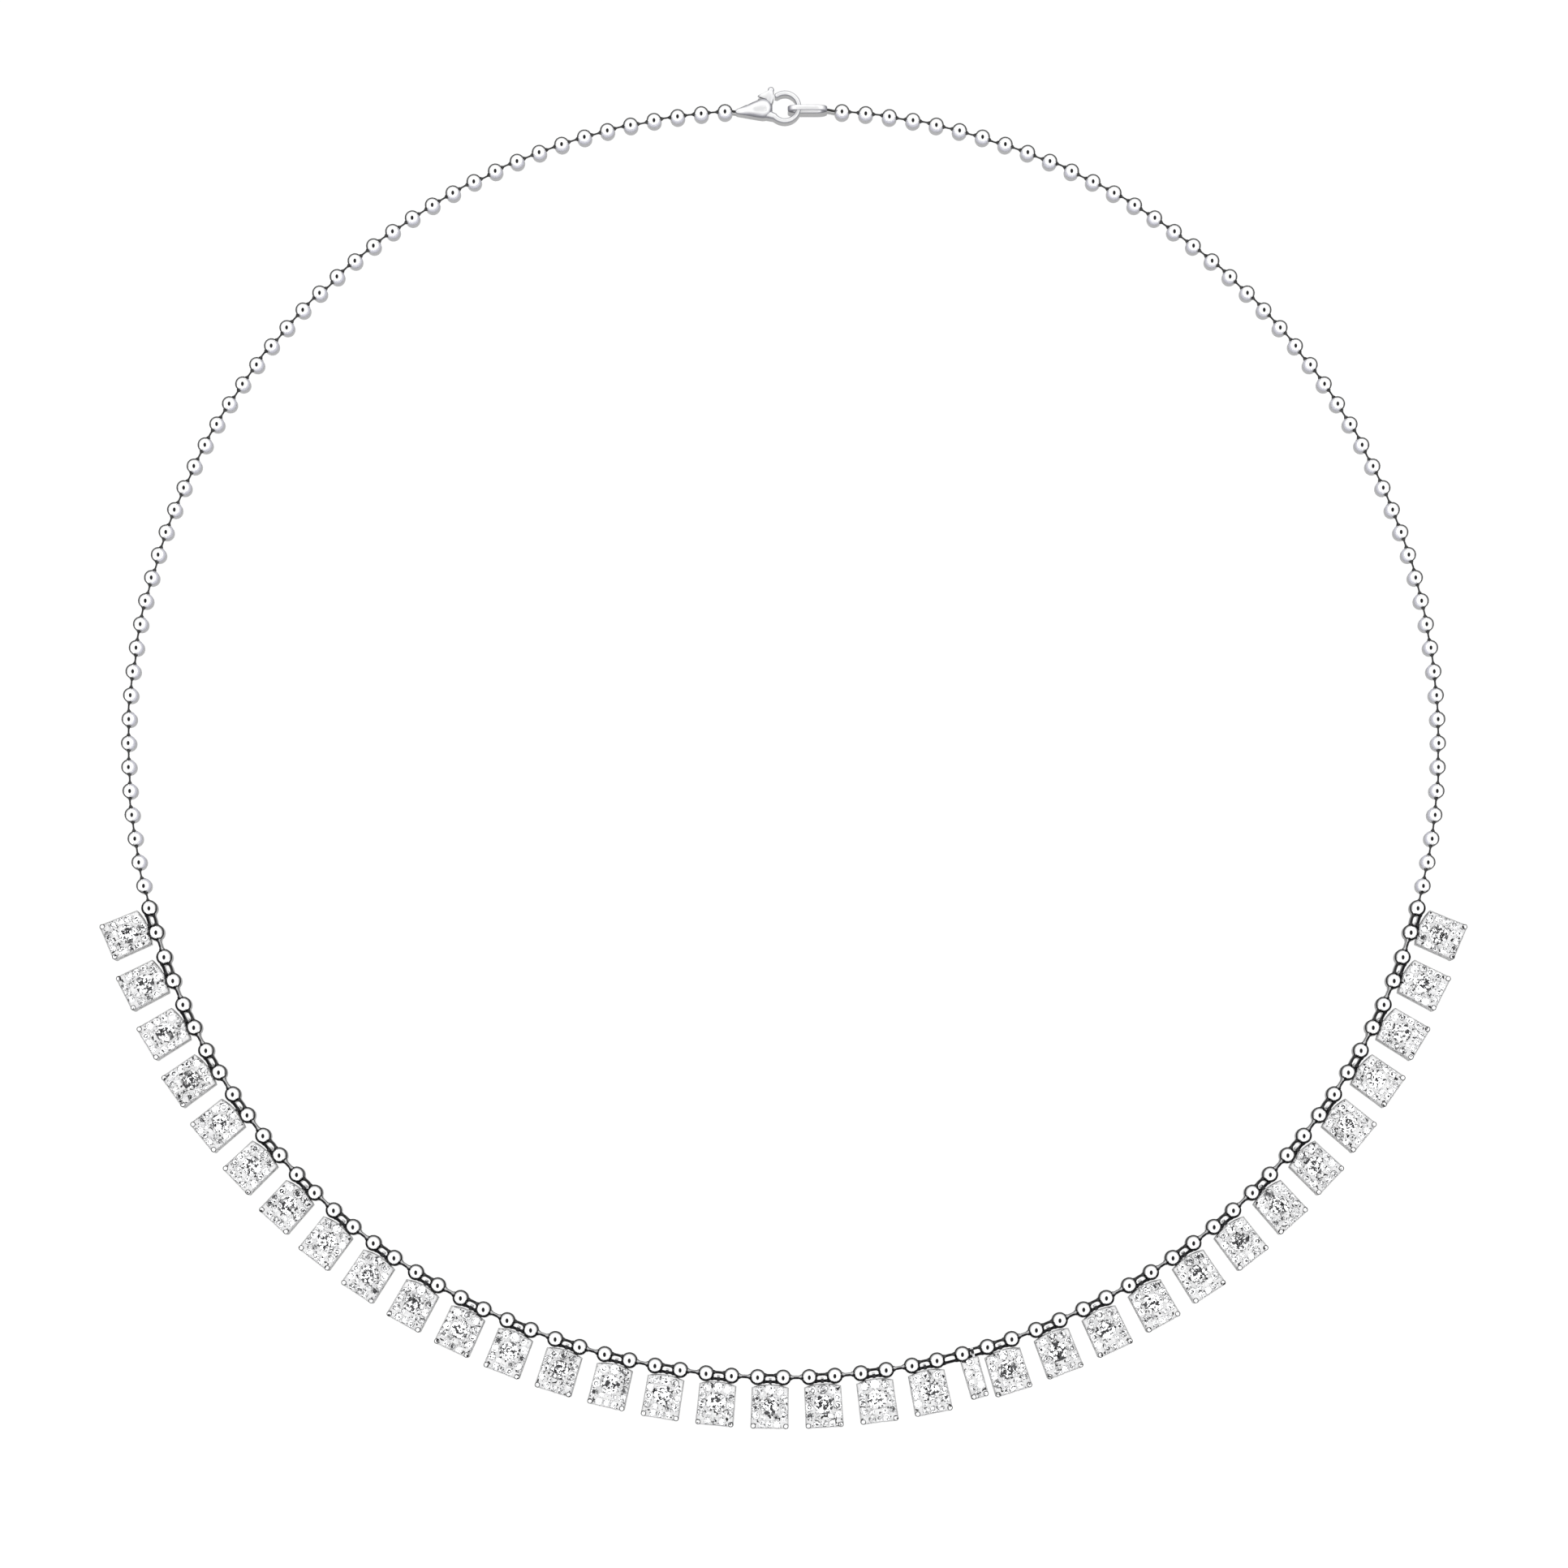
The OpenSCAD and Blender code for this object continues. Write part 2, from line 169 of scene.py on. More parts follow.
class Bench:
    """The bench that a finish is mixed on: a node tree to which nodes are added one at a time."""

    def __init__(self, tree):
        self.tree = tree
        tree.nodes.clear()

    def node(self, kind, settings, sockets, give=0):
        """A node of that kind with its settings, then its sockets' values or links. Gives an output."""
        made = self.tree.nodes.new(kind)
        for name, value in settings.items():
            setattr(made, name, value)
        for name, value in sockets.items():
            if isinstance(value, Value):
                self.tree.links.new(value.socket, made.inputs[name])
            else:
                made.inputs[name].default_value = value
        return Value(made.outputs[give]) if len(made.outputs) else made

    def noise(self, place, size, detail=2.0):
        """Soft cloudy values from 0 to 1 whose spots are about size millimetres across."""
        sockets = {"Vector": place, "Scale": 1 / (size * MM), "Detail": detail}
        return self.node("ShaderNodeTexNoise", {}, sockets, "Fac")

    def colours(self, mask, low, high):
        """The colour low where the mask is 0 and high where it is 1."""
        return self.node("ShaderNodeMix", {"data_type": "RGBA"}, {0: mask, 6: low, 7: high}, 2)

    def mark(self, name):
        """The number that the piece's mesh carries under this name."""
        return self.node("ShaderNodeAttribute", {"attribute_name": name}, {}, "Fac")

    def upward(self, vector):
        """The upward part of a place or of a direction."""
        return self.node("ShaderNodeSeparateXYZ", {}, {0: vector}, "Z")


def new_finish(name):
    """An empty material and its bench."""
    material = bpy.data.materials.new(name)
    material.use_nodes = True
    return material, Bench(material.node_tree)


MARKS_TURN, MARKS_STRETCH = (0.3, 0.4, 0.7), (1, 5, 2)
SOFT_METAL_LOSS, SOFT_ROUGHER = 0.8, 0.35


def white_gold(
    name, tone, gloss, wear, grain, lift,
    stain_and_shade=None, dark=0.02, spread=0.07, metal=1.0, cloud=1.5, soft=None,
):
    """Rhodium-plated white gold. Spots of the cloud's size, in millimetres, shift the tone between two
    greys that differ by the spread. Fine polishing marks, stretched noise of the grain's size, add up to
    the wear to the gloss, which is the roughness, and raise a bump of the lift, in thousandths of a
    millimetre. A stain function gives the share of the dark colour at each spot: painted shade on the
    balls, rails, wires, plaques and clasp, and a worn dark skin on the claw collars. A matt skin scatters
    most of its light, so it is only part metal, and a soft function gives the share of it: here the
    painted grey rim of the small balls."""
    material, bench = new_finish(name)
    place = bench.node("ShaderNodeTexCoord", {}, {}, "Object")
    clouds = bench.noise(place, cloud).between(0.4, 0.6)
    turned = bench.node(
        "ShaderNodeMapping", {},
        {"Vector": place, "Rotation": MARKS_TURN, "Scale": MARKS_STRETCH},
    )
    marks = bench.noise(turned, grain, 3.0)
    dents = bench.noise(place, grain * 4, 1.0)
    light = tone + spread
    colour = bench.colours(clouds, (tone, tone, tone * 1.01, 1), (light, light, light, 1))
    if stain_and_shade:
        colour = bench.colours(stain_and_shade(bench, place), colour, (dark, dark, dark * 1.1, 1))
    bump = bench.node(
        "ShaderNodeBump", {},
        {"Strength": 0.6, "Distance": lift * MM * 0.001, "Height": marks + dents},
    )
    rough = gloss + wear * marks.between(0.45, 0.75)
    if soft:
        matt = soft(bench, place)
        metal, rough = metal - SOFT_METAL_LOSS * matt, rough + SOFT_ROUGHER * matt
    shader = bench.node(
        "ShaderNodeBsdfPrincipled", {},
        {"Base Color": colour, "Metallic": metal, "Roughness": rough, "Normal": bump},
    )
    bench.node("ShaderNodeOutputMaterial", {}, {"Surface": shader})
    return material


POLISH = {"tone": 0.86, "gloss": 0.02, "wear": 0.05, "grain": 0.12, "lift": 0.3}
DRAWN_WIRE = {"gloss": 0.12, "wear": 0.12, "grain": 0.06, "lift": 0.8}
# Where the painted shade on the front balls ends: its height, and its lean outwards.
PAINTED_SHADE_LINE, PAINTED_SHADE_LEAN = 0.6, 0.26


def painted_shade_on_ball(bench, place):
    """Painted shade: below a plane that crosses each ball 0.6 of its radius up and leans outwards, the ball
    is painted dark, a painted reflection of the dark plaques and rails beside it.
    """
    height = bench.upward(place) * (1 / (FRONT_BALL_R * MM)) - 1
    return (PAINTED_SHADE_LINE + PAINTED_SHADE_LEAN * bench.mark("outwards") - height).between(0.0, 0.12)


def painted_shade_on_wire(bench, place):
    """Painted shade along the side of a wire that faces outwards, towards the plaques."""
    return bench.mark("outwards").between(-0.1, 0.25)


polished_balls = white_gold("polished_balls", stain_and_shade=painted_shade_on_ball, **POLISH)
# The rails' near-black tone is painted shade, and so is the dark on the outward side of the rails and the
# link wires.
rails_painted_dark = white_gold("rails_painted_dark", tone=0.05, stain_and_shade=painted_shade_on_wire, spread=0.02, **DRAWN_WIRE)
link_gold = white_gold("link_gold", tone=0.4, stain_and_shade=painted_shade_on_wire, **DRAWN_WIRE)
ball_number = np.arange(2 * PAIRS + 1)
pairs_before = np.where(
    ball_number <= NARROW_BALL,
    (ball_number + 1) // 2,
    PAIRS_LEFT + (ball_number - NARROW_BALL) // 2,
)
row_place = pairs_before * PAIR_PITCH + (ball_number - pairs_before) * GAP_PITCH
front_half = row_place[-1] / 2
front_balls, front_heading = on_line(row_place - front_half)


def balls(centres, headings, r, bore_r):
    """Drilled balls on a thread. At the angle t from one end of the bore to the other a ring lies
    r cos t back along the thread and has the radius r sin t."""
    t = np.linspace(np.arcsin(bore_r / r), np.pi - np.arcsin(bore_r / r), BALL_RINGS)
    along = np.stack([np.cos(headings), np.sin(headings), np.zeros_like(headings)], -1)
    path = raised(centres, r)[:, None] - r * np.cos(t)[:, None] * along[:, None]
    return drawn(path, r * np.sin(t), BALL_SIDES)


def facing_out(rings, centres, headings, r):
    """How far outwards of its ball's centre each point lies, as a share of the radius. Outwards is a
    quarter turn to the right of the heading."""
    out = np.stack([np.sin(headings), -np.cos(headings)], -1)[:, None, None]
    return (((rings[..., :2] - centres[:, None, None]) * out).sum(-1) / r).ravel()


ball_rings = balls(front_balls, front_heading, FRONT_BALL_R, FRONT_BORE_R)
ball_out = facing_out(ball_rings, front_balls, front_heading, FRONT_BALL_R)
row_balls = wrought("front_balls", [ball_rings], polished_balls, crease=60, outwards=ball_out)
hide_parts("beaded_row_1", "beaded_row_2", "beaded_row_3", "beaded_row_4", "beaded_row_5")

WIRE_RINGS, WIRE_SIDES = 23, 14
WIRE_END = 0.55


def soldered(a, b, offset, bow, wire_r, ball_r, height, fillet, reach):
    """Wires from ball to ball, that end 0.55 of a ball's radius from its centre. A wire runs at its
    offset left of the straight line between the centres, with a bow that grows as 4 v (1 - v) along it.
    Its radius gains the fillet of solder where it leaves a ball, which dies away as
    exp(-(d / reach) squared) with the distance d outside the ball."""
    span = np.linalg.norm(b - a, axis=-1)[:, None, None]
    along = unit(b - a)[:, None]
    left = np.stack([-along[..., 1], along[..., 0]], -1)
    v = 0.5 - 0.5 * np.cos(np.linspace(0, np.pi, WIRE_RINGS))[None, :, None]
    start = WIRE_END * ball_r
    x = start + v * (span - 2 * start)
    side = offset[:, None, None] + bow[:, None, None] * 4 * v * (1 - v)
    inside = np.minimum(x, span - x)
    outside = np.maximum(np.hypot(inside, side) - ball_r, 0)
    path = raised(a[:, None] + x * along + side * left, height)
    return drawn(path, (wire_r + fillet * np.exp(-(outside / reach) ** 2))[..., 0], WIRE_SIDES)


# Up the flanks, as far as where the row runs at 50 degrees, the inner rails lie ever nearer the middle
# of the balls and bow more.
INNER_RAIL, INNER_SHIFT, INNER_BOW, INNER_MORE_BOW = 0.21, 0.13, 0.02, 0.2
OUTER_RAIL = 0.49
FLANK_TURN = np.radians(50)
INNER_RAIL_R, OUTER_RAIL_R, LINK_R = 0.15, 0.16, 0.2
left_ball = ball_number[:-1]
has_rails = (left_ball % 2 == (left_ball > NARROW_BALL)) | (left_ball == NARROW_BALL - 1)
pair_a, pair_b = front_balls[:-1][has_rails], front_balls[1:][has_rails]
link_a, link_b = front_balls[:-1][~has_rails], front_balls[1:][~has_rails]
flank = np.clip(np.abs(front_heading[:-1][has_rails]) / FLANK_TURN, 0, 1)
straight_rail, straight_link = np.zeros(len(pair_a)), np.zeros(len(link_a))
inner_rails = soldered(
    pair_a, pair_b, INNER_RAIL - INNER_SHIFT * flank, INNER_BOW + INNER_MORE_BOW * flank,
    INNER_RAIL_R, FRONT_BALL_R, FRONT_BALL_R, fillet=0.1, reach=0.1,
)
outer_rails = soldered(
    pair_a, pair_b, straight_rail - OUTER_RAIL, straight_rail,
    OUTER_RAIL_R, FRONT_BALL_R, FRONT_BALL_R, fillet=0.08, reach=0.1,
)
link_wires = soldered(
    link_a, link_b, straight_link, straight_link,
    LINK_R, FRONT_BALL_R, FRONT_BALL_R, fillet=0.12, reach=0.12,
)
rails_out = np.concatenate([np.zeros(inner_rails.size // 3), np.ones(outer_rails.size // 3)])
wrought("rails", [inner_rails, outer_rails], rails_painted_dark, outwards=rails_out)
wire_out = np.broadcast_to(-np.cos(np.arange(WIRE_SIDES) * 2 * np.pi / WIRE_SIDES), link_wires.shape[:3])
wrought("link_wires", [link_wires], link_gold, outwards=wire_out.ravel())

# A plaque hangs from the outer rail of each pair. It is cast in white gold as a plate 1.1 mm thick with
# an arched upper edge, drilled seats, two round corner claws and a little bail that goes round the rail.
# The caster's skin is left satin between the stones, and only the raised edge is polished.
PLATE_H = 1.1
PLAQUE_W, PLAQUE_TOP_W, PLAQUE_DROP = 4.25, 4.05, 5.22
TOP_GAP, ARCH_R, ARCH_WIDER, CORNER_R = 0.27, 5.9, 0.06, 0.36
LEAN, SLIDE = np.radians(7), 0.42
station = np.arange(PAIRS)
first_ball = 2 * station + (station >= PAIRS_LEFT)
hang_a, hang_b = front_balls[first_ball], front_balls[first_ball + 1]
hang_heading = np.arctan2(*(hang_b - hang_a).T[::-1])
end_heading = on_line(np.array([front_half]))[1][0]
# Up the flanks the plaques lean and slide along their rails, by this share of the most.
lean_share = -np.sign(hang_heading) * (np.abs(hang_heading) / end_heading) ** 1.5


def placed(points, origin, heading):
    """Points of a plan with their heights, turned by the headings and moved to the origins, so that
    points shaped (..., 3) give one copy for each origin, shaped (copies, ..., 3)."""
    shape = (len(origin),) + (1,) * (points.ndim - 1)
    c, s = np.cos(heading).reshape(shape), np.sin(heading).reshape(shape)
    x = c * points[..., 0] - s * points[..., 1] + origin[:, 0].reshape(shape)
    y = s * points[..., 0] + c * points[..., 1] + origin[:, 1].reshape(shape)
    return np.stack([x, y, np.broadcast_to(points[..., 2], x.shape)], -1)


turn_c, turn_s = np.cos(hang_heading), np.sin(hang_heading)
slide = np.stack([SLIDE * lean_share, np.full(PAIRS, -OUTER_RAIL)], -1)
plaque_at = (hang_a + hang_b) / 2 + np.stack(
    [turn_c * slide[:, 0] - turn_s * slide[:, 1], turn_s * slide[:, 0] + turn_c * slide[:, 1]], -1
)
plaque_heading = hang_heading + LEAN * lean_share
BAIL_ABOVE, BAIL_WITHIN, LOOP_MIDDLE = 1.2, 75.5, (0, 2 * MM, 0)


def specks(bench, place, more=0.0):
    """Specks about 0.2 mm across: 1 where cloudy noise of 0.34 mm, with more added to it, is over 0.63,
    and 0 where it is under 0.6."""
    return (bench.noise(place, 0.34, 1.0) + more).between(0.6, 0.63)


def shade_specks_and_dark_bail(bench, place):
    """Painted shade: dark specks stand for the shadows between the stones, round the grains and seats. The
    bail, what stands over 1.2 mm and nearer than 75.5 mm to the middle of the loop, is darkened too."""
    # These dark specks are painted shade.
    cuts = specks(bench, place)
    plan = bench.node("ShaderNodeVectorMath", {"operation": "MULTIPLY"}, {0: place, 1: (1, 1, 0)}, "Vector")
    out = bench.node("ShaderNodeVectorMath", {"operation": "DISTANCE"}, {0: plan, 1: LOOP_MIDDLE}, "Value")
    high = bench.upward(place).between(BAIL_ABOVE * MM, (BAIL_ABOVE + 0.04) * MM)
    far = out.between((BAIL_WITHIN - 0.1) * MM, (BAIL_WITHIN + 0.1) * MM)
    bail = high * (1 - far)
    return cuts + bail - cuts * bail


satin = white_gold(
    "white_gold_satin", tone=0.9, gloss=0.45, wear=0.16, grain=0.05, lift=2.0,
    stain_and_shade=shade_specks_and_dark_bail, spread=0.1, metal=0.35, cloud=0.35,
)
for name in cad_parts:
    if name.startswith(("station_", "narrow_station")):
        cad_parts[name].data.materials.clear()
        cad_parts[name].data.materials.append(satin)


def plaque_edge(top_w, outer_w, shift, top_gap, inset):
    """The outline of a plaque, drawn in by the inset: two round outer corners, straight sides, and the
    arch above them, a circle of 5.9 mm under the rail's line, cut where it meets the sides."""
    half, drop, r = outer_w / 2 - inset, PLAQUE_DROP - inset, CORNER_R - inset
    turn = np.linspace(0, np.pi / 2, 6)
    right = np.stack([half - r + r * np.sin(turn), -drop + r - r * np.cos(turn)], -1)
    left = right[::-1] * [-1, 1]
    side, arch_r = (top_w + ARCH_WIDER) / 2 - inset, ARCH_R - inset
    end = np.arcsin(side / arch_r)
    a = np.linspace(end, -end, 15)
    arch = np.stack([arch_r * np.sin(a), -top_gap - ARCH_R + arch_r * np.cos(a)], -1)
    return np.concatenate([right, arch, left]) + [shift, 0]


RIM_IN, RIM_HALF, RIM_RISE, RIM_SUNK = 0.075, 0.065, 0.08, 0.01


def bright_edge(top_w, outer_w, shift, top_gap):
    """A half-round rim on the edge of a plaque: at the angle t it lies inwards of the outline and above
    the plate as a circle does, 0.13 mm wide and 0.07 mm high. Its rings are the outlines, so the
    rim is carried round the plaque with its two ends in the same place."""
    t = np.linspace(0, np.pi, 5)
    insets, heights = RIM_IN - RIM_HALF * np.cos(t), PLATE_H - RIM_SUNK + RIM_RISE * np.sin(t)
    loops = [plaque_edge(top_w, outer_w, shift, top_gap, inset) for inset in insets]
    return np.stack([raised(loop, height) for loop, height in zip(loops, heights)], 1)


def banded(name, profiles, finish):
    """One piece made of closed bands, shaped (..., around, across, 3): each profile joins the next one
    round the band, and the last one the first."""
    around, across = profiles.shape[-3:-1]
    n = np.arange(profiles.size // 3).reshape(-1, around, across)
    a, b = n, np.roll(n, -1, 1)
    bands = np.stack([a, b, np.roll(b, -1, 2), np.roll(a, -1, 2)], -1).reshape(-1, 4)
    return joined(name, profiles.reshape(-1, 3), bands.tolist(), finish, crease=50)


CLAW_IN, CLAW_HEAD_R, CLAW_HEAD_Z = 0.3, 0.25, 1.49
COLLAR_R, COLLAR_POINTS, COLLAR_SIDES = 0.05, 20, 6


def claw_collars(outer_w, shift):
    """A thin ring round the head of each corner claw: a circle of 0.25 mm, and at each of its points a
    section of 0.05 mm at the angle b, out along the circle's radius and upwards."""
    a = np.arange(COLLAR_POINTS)[:, None] * 2 * np.pi / COLLAR_POINTS
    b = np.arange(COLLAR_SIDES) * 2 * np.pi / COLLAR_SIDES
    reach, height = CLAW_HEAD_R + COLLAR_R * np.cos(b), CLAW_HEAD_Z + COLLAR_R * np.sin(b) + 0 * a
    ring = np.stack([reach * np.cos(a), reach * np.sin(a), height], -1)
    out, foot = outer_w / 2 - CLAW_IN, CLAW_IN - PLAQUE_DROP
    feet = np.array([[shift - out, foot, 0], [shift + out, foot, 0]])
    return ring + feet[:, None, None]


def worn_through(bench, place):
    """The dark of a collar is worn off again in clouds 0.5 mm across."""
    return bench.noise(place, 0.5, 1.0).between(0.44, 0.52)


BURNISHED = {"gloss": 0.2, "wear": 0.15, "grain": 0.06, "lift": 0.8}
edge_gold = white_gold("edge_gold", tone=0.45, **BURNISHED)
full_edge = bright_edge(PLAQUE_TOP_W, PLAQUE_W, 0, TOP_GAP)
banded("plaque_rims", placed(full_edge, plaque_at, plaque_heading), edge_gold)
collar_gold = white_gold("collar_gold", tone=0.5, stain_and_shade=worn_through, **BURNISHED)
banded("claw_collars", placed(claw_collars(PLAQUE_W, 0), plaque_at, plaque_heading), collar_gold)

# The stones are colourless diamonds. A plaque has one large brilliant of 2.1 mm in the middle, with
# fourteen small simple cuts of 0.6 to 1.1 mm round it. Each drops into a drilled conical seat, so that
# its girdle is level with the plate and light reaches it from behind.
GIRDLE_TOP, GIRDLE_LOW = 0.02, -0.03
# A row is a seat's place across the plaque and along the drop, and its diameter.
MIDDLE_STONE = np.array([0, -2.62, 2.16])
SMALL_MIDDLE = np.array([[0, -0.9, 1.14], [0, -4.7, 0.78]])
SMALL_SIDE = np.array([
    [1.12, -1.06, 0.92],
    [1.58, -1.9, 0.9],
    [1.6, -2.85, 0.9],
    [1.58, -3.8, 0.9],
    [0.83, -4.72, 0.78],
    [0.72, -3.95, 0.62],
])
small_stones = np.concatenate([SMALL_MIDDLE, SMALL_SIDE, SMALL_SIDE * [-1, 1, 1]])


def circle(r, z, sides, turn=0.0):
    """Points round a circle of a radius at a height, the first one at the turn in degrees."""
    u = np.radians(turn) + np.arange(sides) * 2 * np.pi / sides
    return np.stack([r * np.cos(u), r * np.sin(u), np.full(sides, z)], -1)


def simple_cut():
    """A single-cut stone of girdle radius 1: an eight-sided table of 0.58, eight crown facets up to
    0.27 high, a thin girdle, and eight pavilion facets down to a point at 0.84. The share of facets given
    a painted dark reflection is 0.14 on the crown and 0.3 on the girdle, and none elsewhere."""
    points = np.concatenate([
        circle(0.58, 0.29, 8),
        circle(1, GIRDLE_TOP, 8),
        circle(1, GIRDLE_LOW, 8),
        [[0, 0, -0.84]],
    ])
    k = np.arange(8)
    n = (k + 1) % 8
    crown = np.stack([k + 8, n + 8, n, k], -1).tolist()
    girdle = np.stack([k + 16, n + 16, n + 8, k + 8], -1).tolist()
    pavilion = np.stack([n + 16, k + 16, np.full(8, 24)], -1).tolist()
    dark_share = np.repeat([0, 0.14, 0.3, 0], [1, 8, 8, 8])
    return points, [k.tolist()] + crown + girdle + pavilion, dark_share


def brilliant_cut():
    """A full brilliant of girdle radius 1 and 57 facets. Kites run from the table's corners to the
    girdle on planes that fall by 0.68 for each 1 outwards, stars and upper halves fill in between
    them, and below the girdle eight mains and sixteen lower halves meet at a point at 0.87. The share
    of facets given a painted dark reflection is 0.1 of stars and kites, 0.06 to 0.36 of upper halves,
    more of those towards the plaque's two ends, half of the girdle and 0.03 of what is below it."""
    fall, dip, table_r, star_r, lower_r = 0.68, 0.84, 0.56, 0.79, 0.24
    tip = np.cos(np.pi / 8)
    points = np.concatenate([
        circle(table_r, GIRDLE_TOP + fall * (1 - table_r), 8, 22.5),
        circle(star_r, GIRDLE_TOP + fall * (1 - star_r * tip), 8),
        circle(1, GIRDLE_TOP, 16),
        circle(1, GIRDLE_LOW, 16),
        circle(lower_r, GIRDLE_LOW - dip * (1 - lower_r * tip), 8),
        [[0, 0, GIRDLE_LOW - dip]],
    ])
    k = np.arange(8)
    table, star, top, low, half, point = k, k + 8, k * 2 + 16, k * 2 + 32, k + 48, np.full(8, 56)
    last, after = (k - 1) % 8, (k + 1) % 8
    kite_top, kite_low = top + 1, low + 1
    before_top, before_low = 16 + (2 * k - 1) % 16, 32 + (2 * k - 1) % 16
    ring = np.arange(16)
    facets = [
        np.stack([star, table, table[last]], -1),
        np.stack([star, kite_top, star[after], table], -1),
        np.stack([top, kite_top, star], -1),
        np.stack([before_top, top, star], -1),
        np.stack([ring + 32, (ring + 1) % 16 + 32, (ring + 1) % 16 + 16, ring + 16], -1),
        np.stack([kite_low, low, half], -1),
        np.stack([low, before_low, half], -1),
        np.stack([kite_low, half, point, half[after]], -1),
    ]
    upper = 0.06 + 0.3 * np.sin(k * np.pi / 4) ** 2
    dark_share = np.concatenate([[0], np.full(16, 0.1), upper, upper, np.full(16, 0.5), np.full(24, 0.03)])
    return points, [table.tolist()] + [face for lot in facets for face in lot.tolist()], dark_share


def diamond():
    """Colourless diamond: clear, with the refractive index 2.42. Its body tone moves between two near
    whites in spots of 0.4 mm, and faint polish lines add a trace of roughness. Each facet's shade is a
    painted reflection of a light or dark part of the room: it mixes in a dark grey with a weak gloss.
    Painted specks of the smallest reflections do the same, where the mark of the facet lets them be."""
    material, bench = new_finish("diamond_clear")
    place = bench.node("ShaderNodeTexCoord", {}, {}, "Object")
    tone = bench.colours(bench.noise(place, 0.4), (0.97, 0.98, 1.0, 1), (1, 1, 1, 1))
    polish = bench.noise(place, 0.05)
    bright = bench.node(
        "ShaderNodeBsdfPrincipled", {},
        {"Base Color": tone, "Roughness": 0.015 * polish, "IOR": 2.42, "Transmission Weight": 1.0},
    )
    shade = bench.colours(polish, (0.02, 0.02, 0.022, 1), (0.09, 0.09, 0.095, 1))
    dark = bench.node("ShaderNodeBsdfPrincipled", {}, {"Base Color": shade, "Roughness": 0.3, "IOR": 1.2})
    facet = bench.mark("facet_shade")
    speck = specks(bench, place, bench.mark("speckled"))
    shader = bench.node("ShaderNodeMixShader", {}, {0: facet + speck - facet * speck, 1: bright, 2: dark})
    bench.node("ShaderNodeOutputMaterial", {}, {"Surface": shader})
    return material


clear = diamond()
chance = np.random.default_rng(11)
STONE_COVER, STONE_LIFT, STONE_SPIN, STONE_LEAN = 0.508, 0.01, 0.4, 0.06


def set_stones(name, cut, chart, origin, heading, more=0.0):
    """Copies of a cut for each row of the chart (across, along the drop, seat's diameter) in each plaque.
    A stone covers its seat's edge. It is turned about its own axis by up to 23 degrees either way, leans by
    adding small shares of x and y to z, and its pavilion is 0.9 to 1.12 of the cut's depth. A facet's
    painted shade, a painted reflection, is up to 0.06, or from 0.8 to 1 for the share of dark ones that its
    cut gives.
    The mark speckled is what the facet adds to the noise of its painted specks: more on the crown, and -1
    below it, where there are none."""
    shape, facets, dark_share = cut
    count = len(origin) * len(chart)
    centre = raised(chart[:, :2], PLATE_H + STONE_LIFT)
    centre = placed(centre, origin, heading).reshape(-1, 1, 3)
    size = STONE_COVER * np.tile(chart[:, 2], len(origin))[:, None, None]
    spin = np.repeat(heading, len(chart)) + chance.uniform(-STONE_SPIN, STONE_SPIN, count)
    c, s = np.cos(spin)[:, None], np.sin(spin)[:, None]
    x, y = c * shape[:, 0] - s * shape[:, 1], s * shape[:, 0] + c * shape[:, 1]
    lean = chance.normal(0, STONE_LEAN, (2, count, 1))
    deep = np.where(shape[:, 2] < -0.1, chance.uniform(0.9, 1.12, (count, 1)), 1)
    points = centre + size * np.stack([x, y, deep * shape[:, 2] + lean[0] * x + lean[1] * y], -1)
    faces = [[i + step * len(shape) for i in face] for step in range(count) for face in facets]
    is_dark = chance.random((count, len(facets))) < dark_share
    shade = np.where(is_dark, chance.uniform(0.8, 1, is_dark.shape), chance.uniform(0, 0.06, is_dark.shape))
    speckled = np.array([more if shape[face[0], 2] > 0 else -1 for face in facets])
    return joined(
        name, points.reshape(-1, 3), faces, clear, slot="diamond", crease=1,
        facet_shade=shade.ravel(), speckled=np.tile(speckled, count),
    )


set_stones("large_diamonds", brilliant_cut(), MIDDLE_STONE[None], plaque_at, plaque_heading, more=0.045)
set_stones("small_diamonds", simple_cut(), small_stones, plaque_at, plaque_heading)

# Each small stone is held by grains: beads of gold that the setter raises from the plate with a graver
# and rounds over the stone's edge. The large stone stands between four bent claws. Grains and claws
# are burnished bright.
GRAIN_R, GRAIN_H, GRAIN_SUNK = 0.12, 0.17, 0.02
GRAIN_OFF, GRAIN_GAP, GRAINS_W = 0.03, 0.2, 4.1
diagonal = np.radians([45, 135, 225, 315])
diagonal_way = np.stack([np.cos(diagonal), np.sin(diagonal)], -1)


def grain_places(chart, field_w, shift):
    """Spots for grains, 0.03 mm off the edge of each small stone on its four diagonals. A spot is left
    out where it is off the plate, on another stone, or nearer than 0.2 mm to an earlier spot."""
    small = chart[chart[:, 2] < 2]
    spots = small[:, None, :2] + (small[:, 2] / 2 + GRAIN_OFF)[:, None, None] * diagonal_way
    spots = spots.reshape(-1, 2)
    off = np.linalg.norm(spots[:, None] - chart[:, :2], axis=-1) - chart[:, 2] / 2
    across, along = spots[:, 0] - shift, spots[:, 1]
    on_plate = (np.abs(across) < field_w / 2 - GRAIN_R) & (along > GRAIN_R - PLAQUE_DROP)
    on_plate &= np.hypot(across, along + TOP_GAP + ARCH_R) < ARCH_R - GRAIN_R
    spots = spots[on_plate & (off.min(-1) > -0.02)]
    close = np.linalg.norm(spots[:, None] - spots, axis=-1) < GRAIN_GAP
    return spots[~np.triu(close, 1).any(0)]


def upright(x, y, heights, radii, sides):
    """A round piece turned about the upright line at x and y, with a ring of each radius at each height."""
    spine = np.stack([np.full(len(heights), x), np.full(len(heights), y), heights], -1)
    return drawn(spine[None], radii, sides, over=(1.0, 0.0, 0.0))


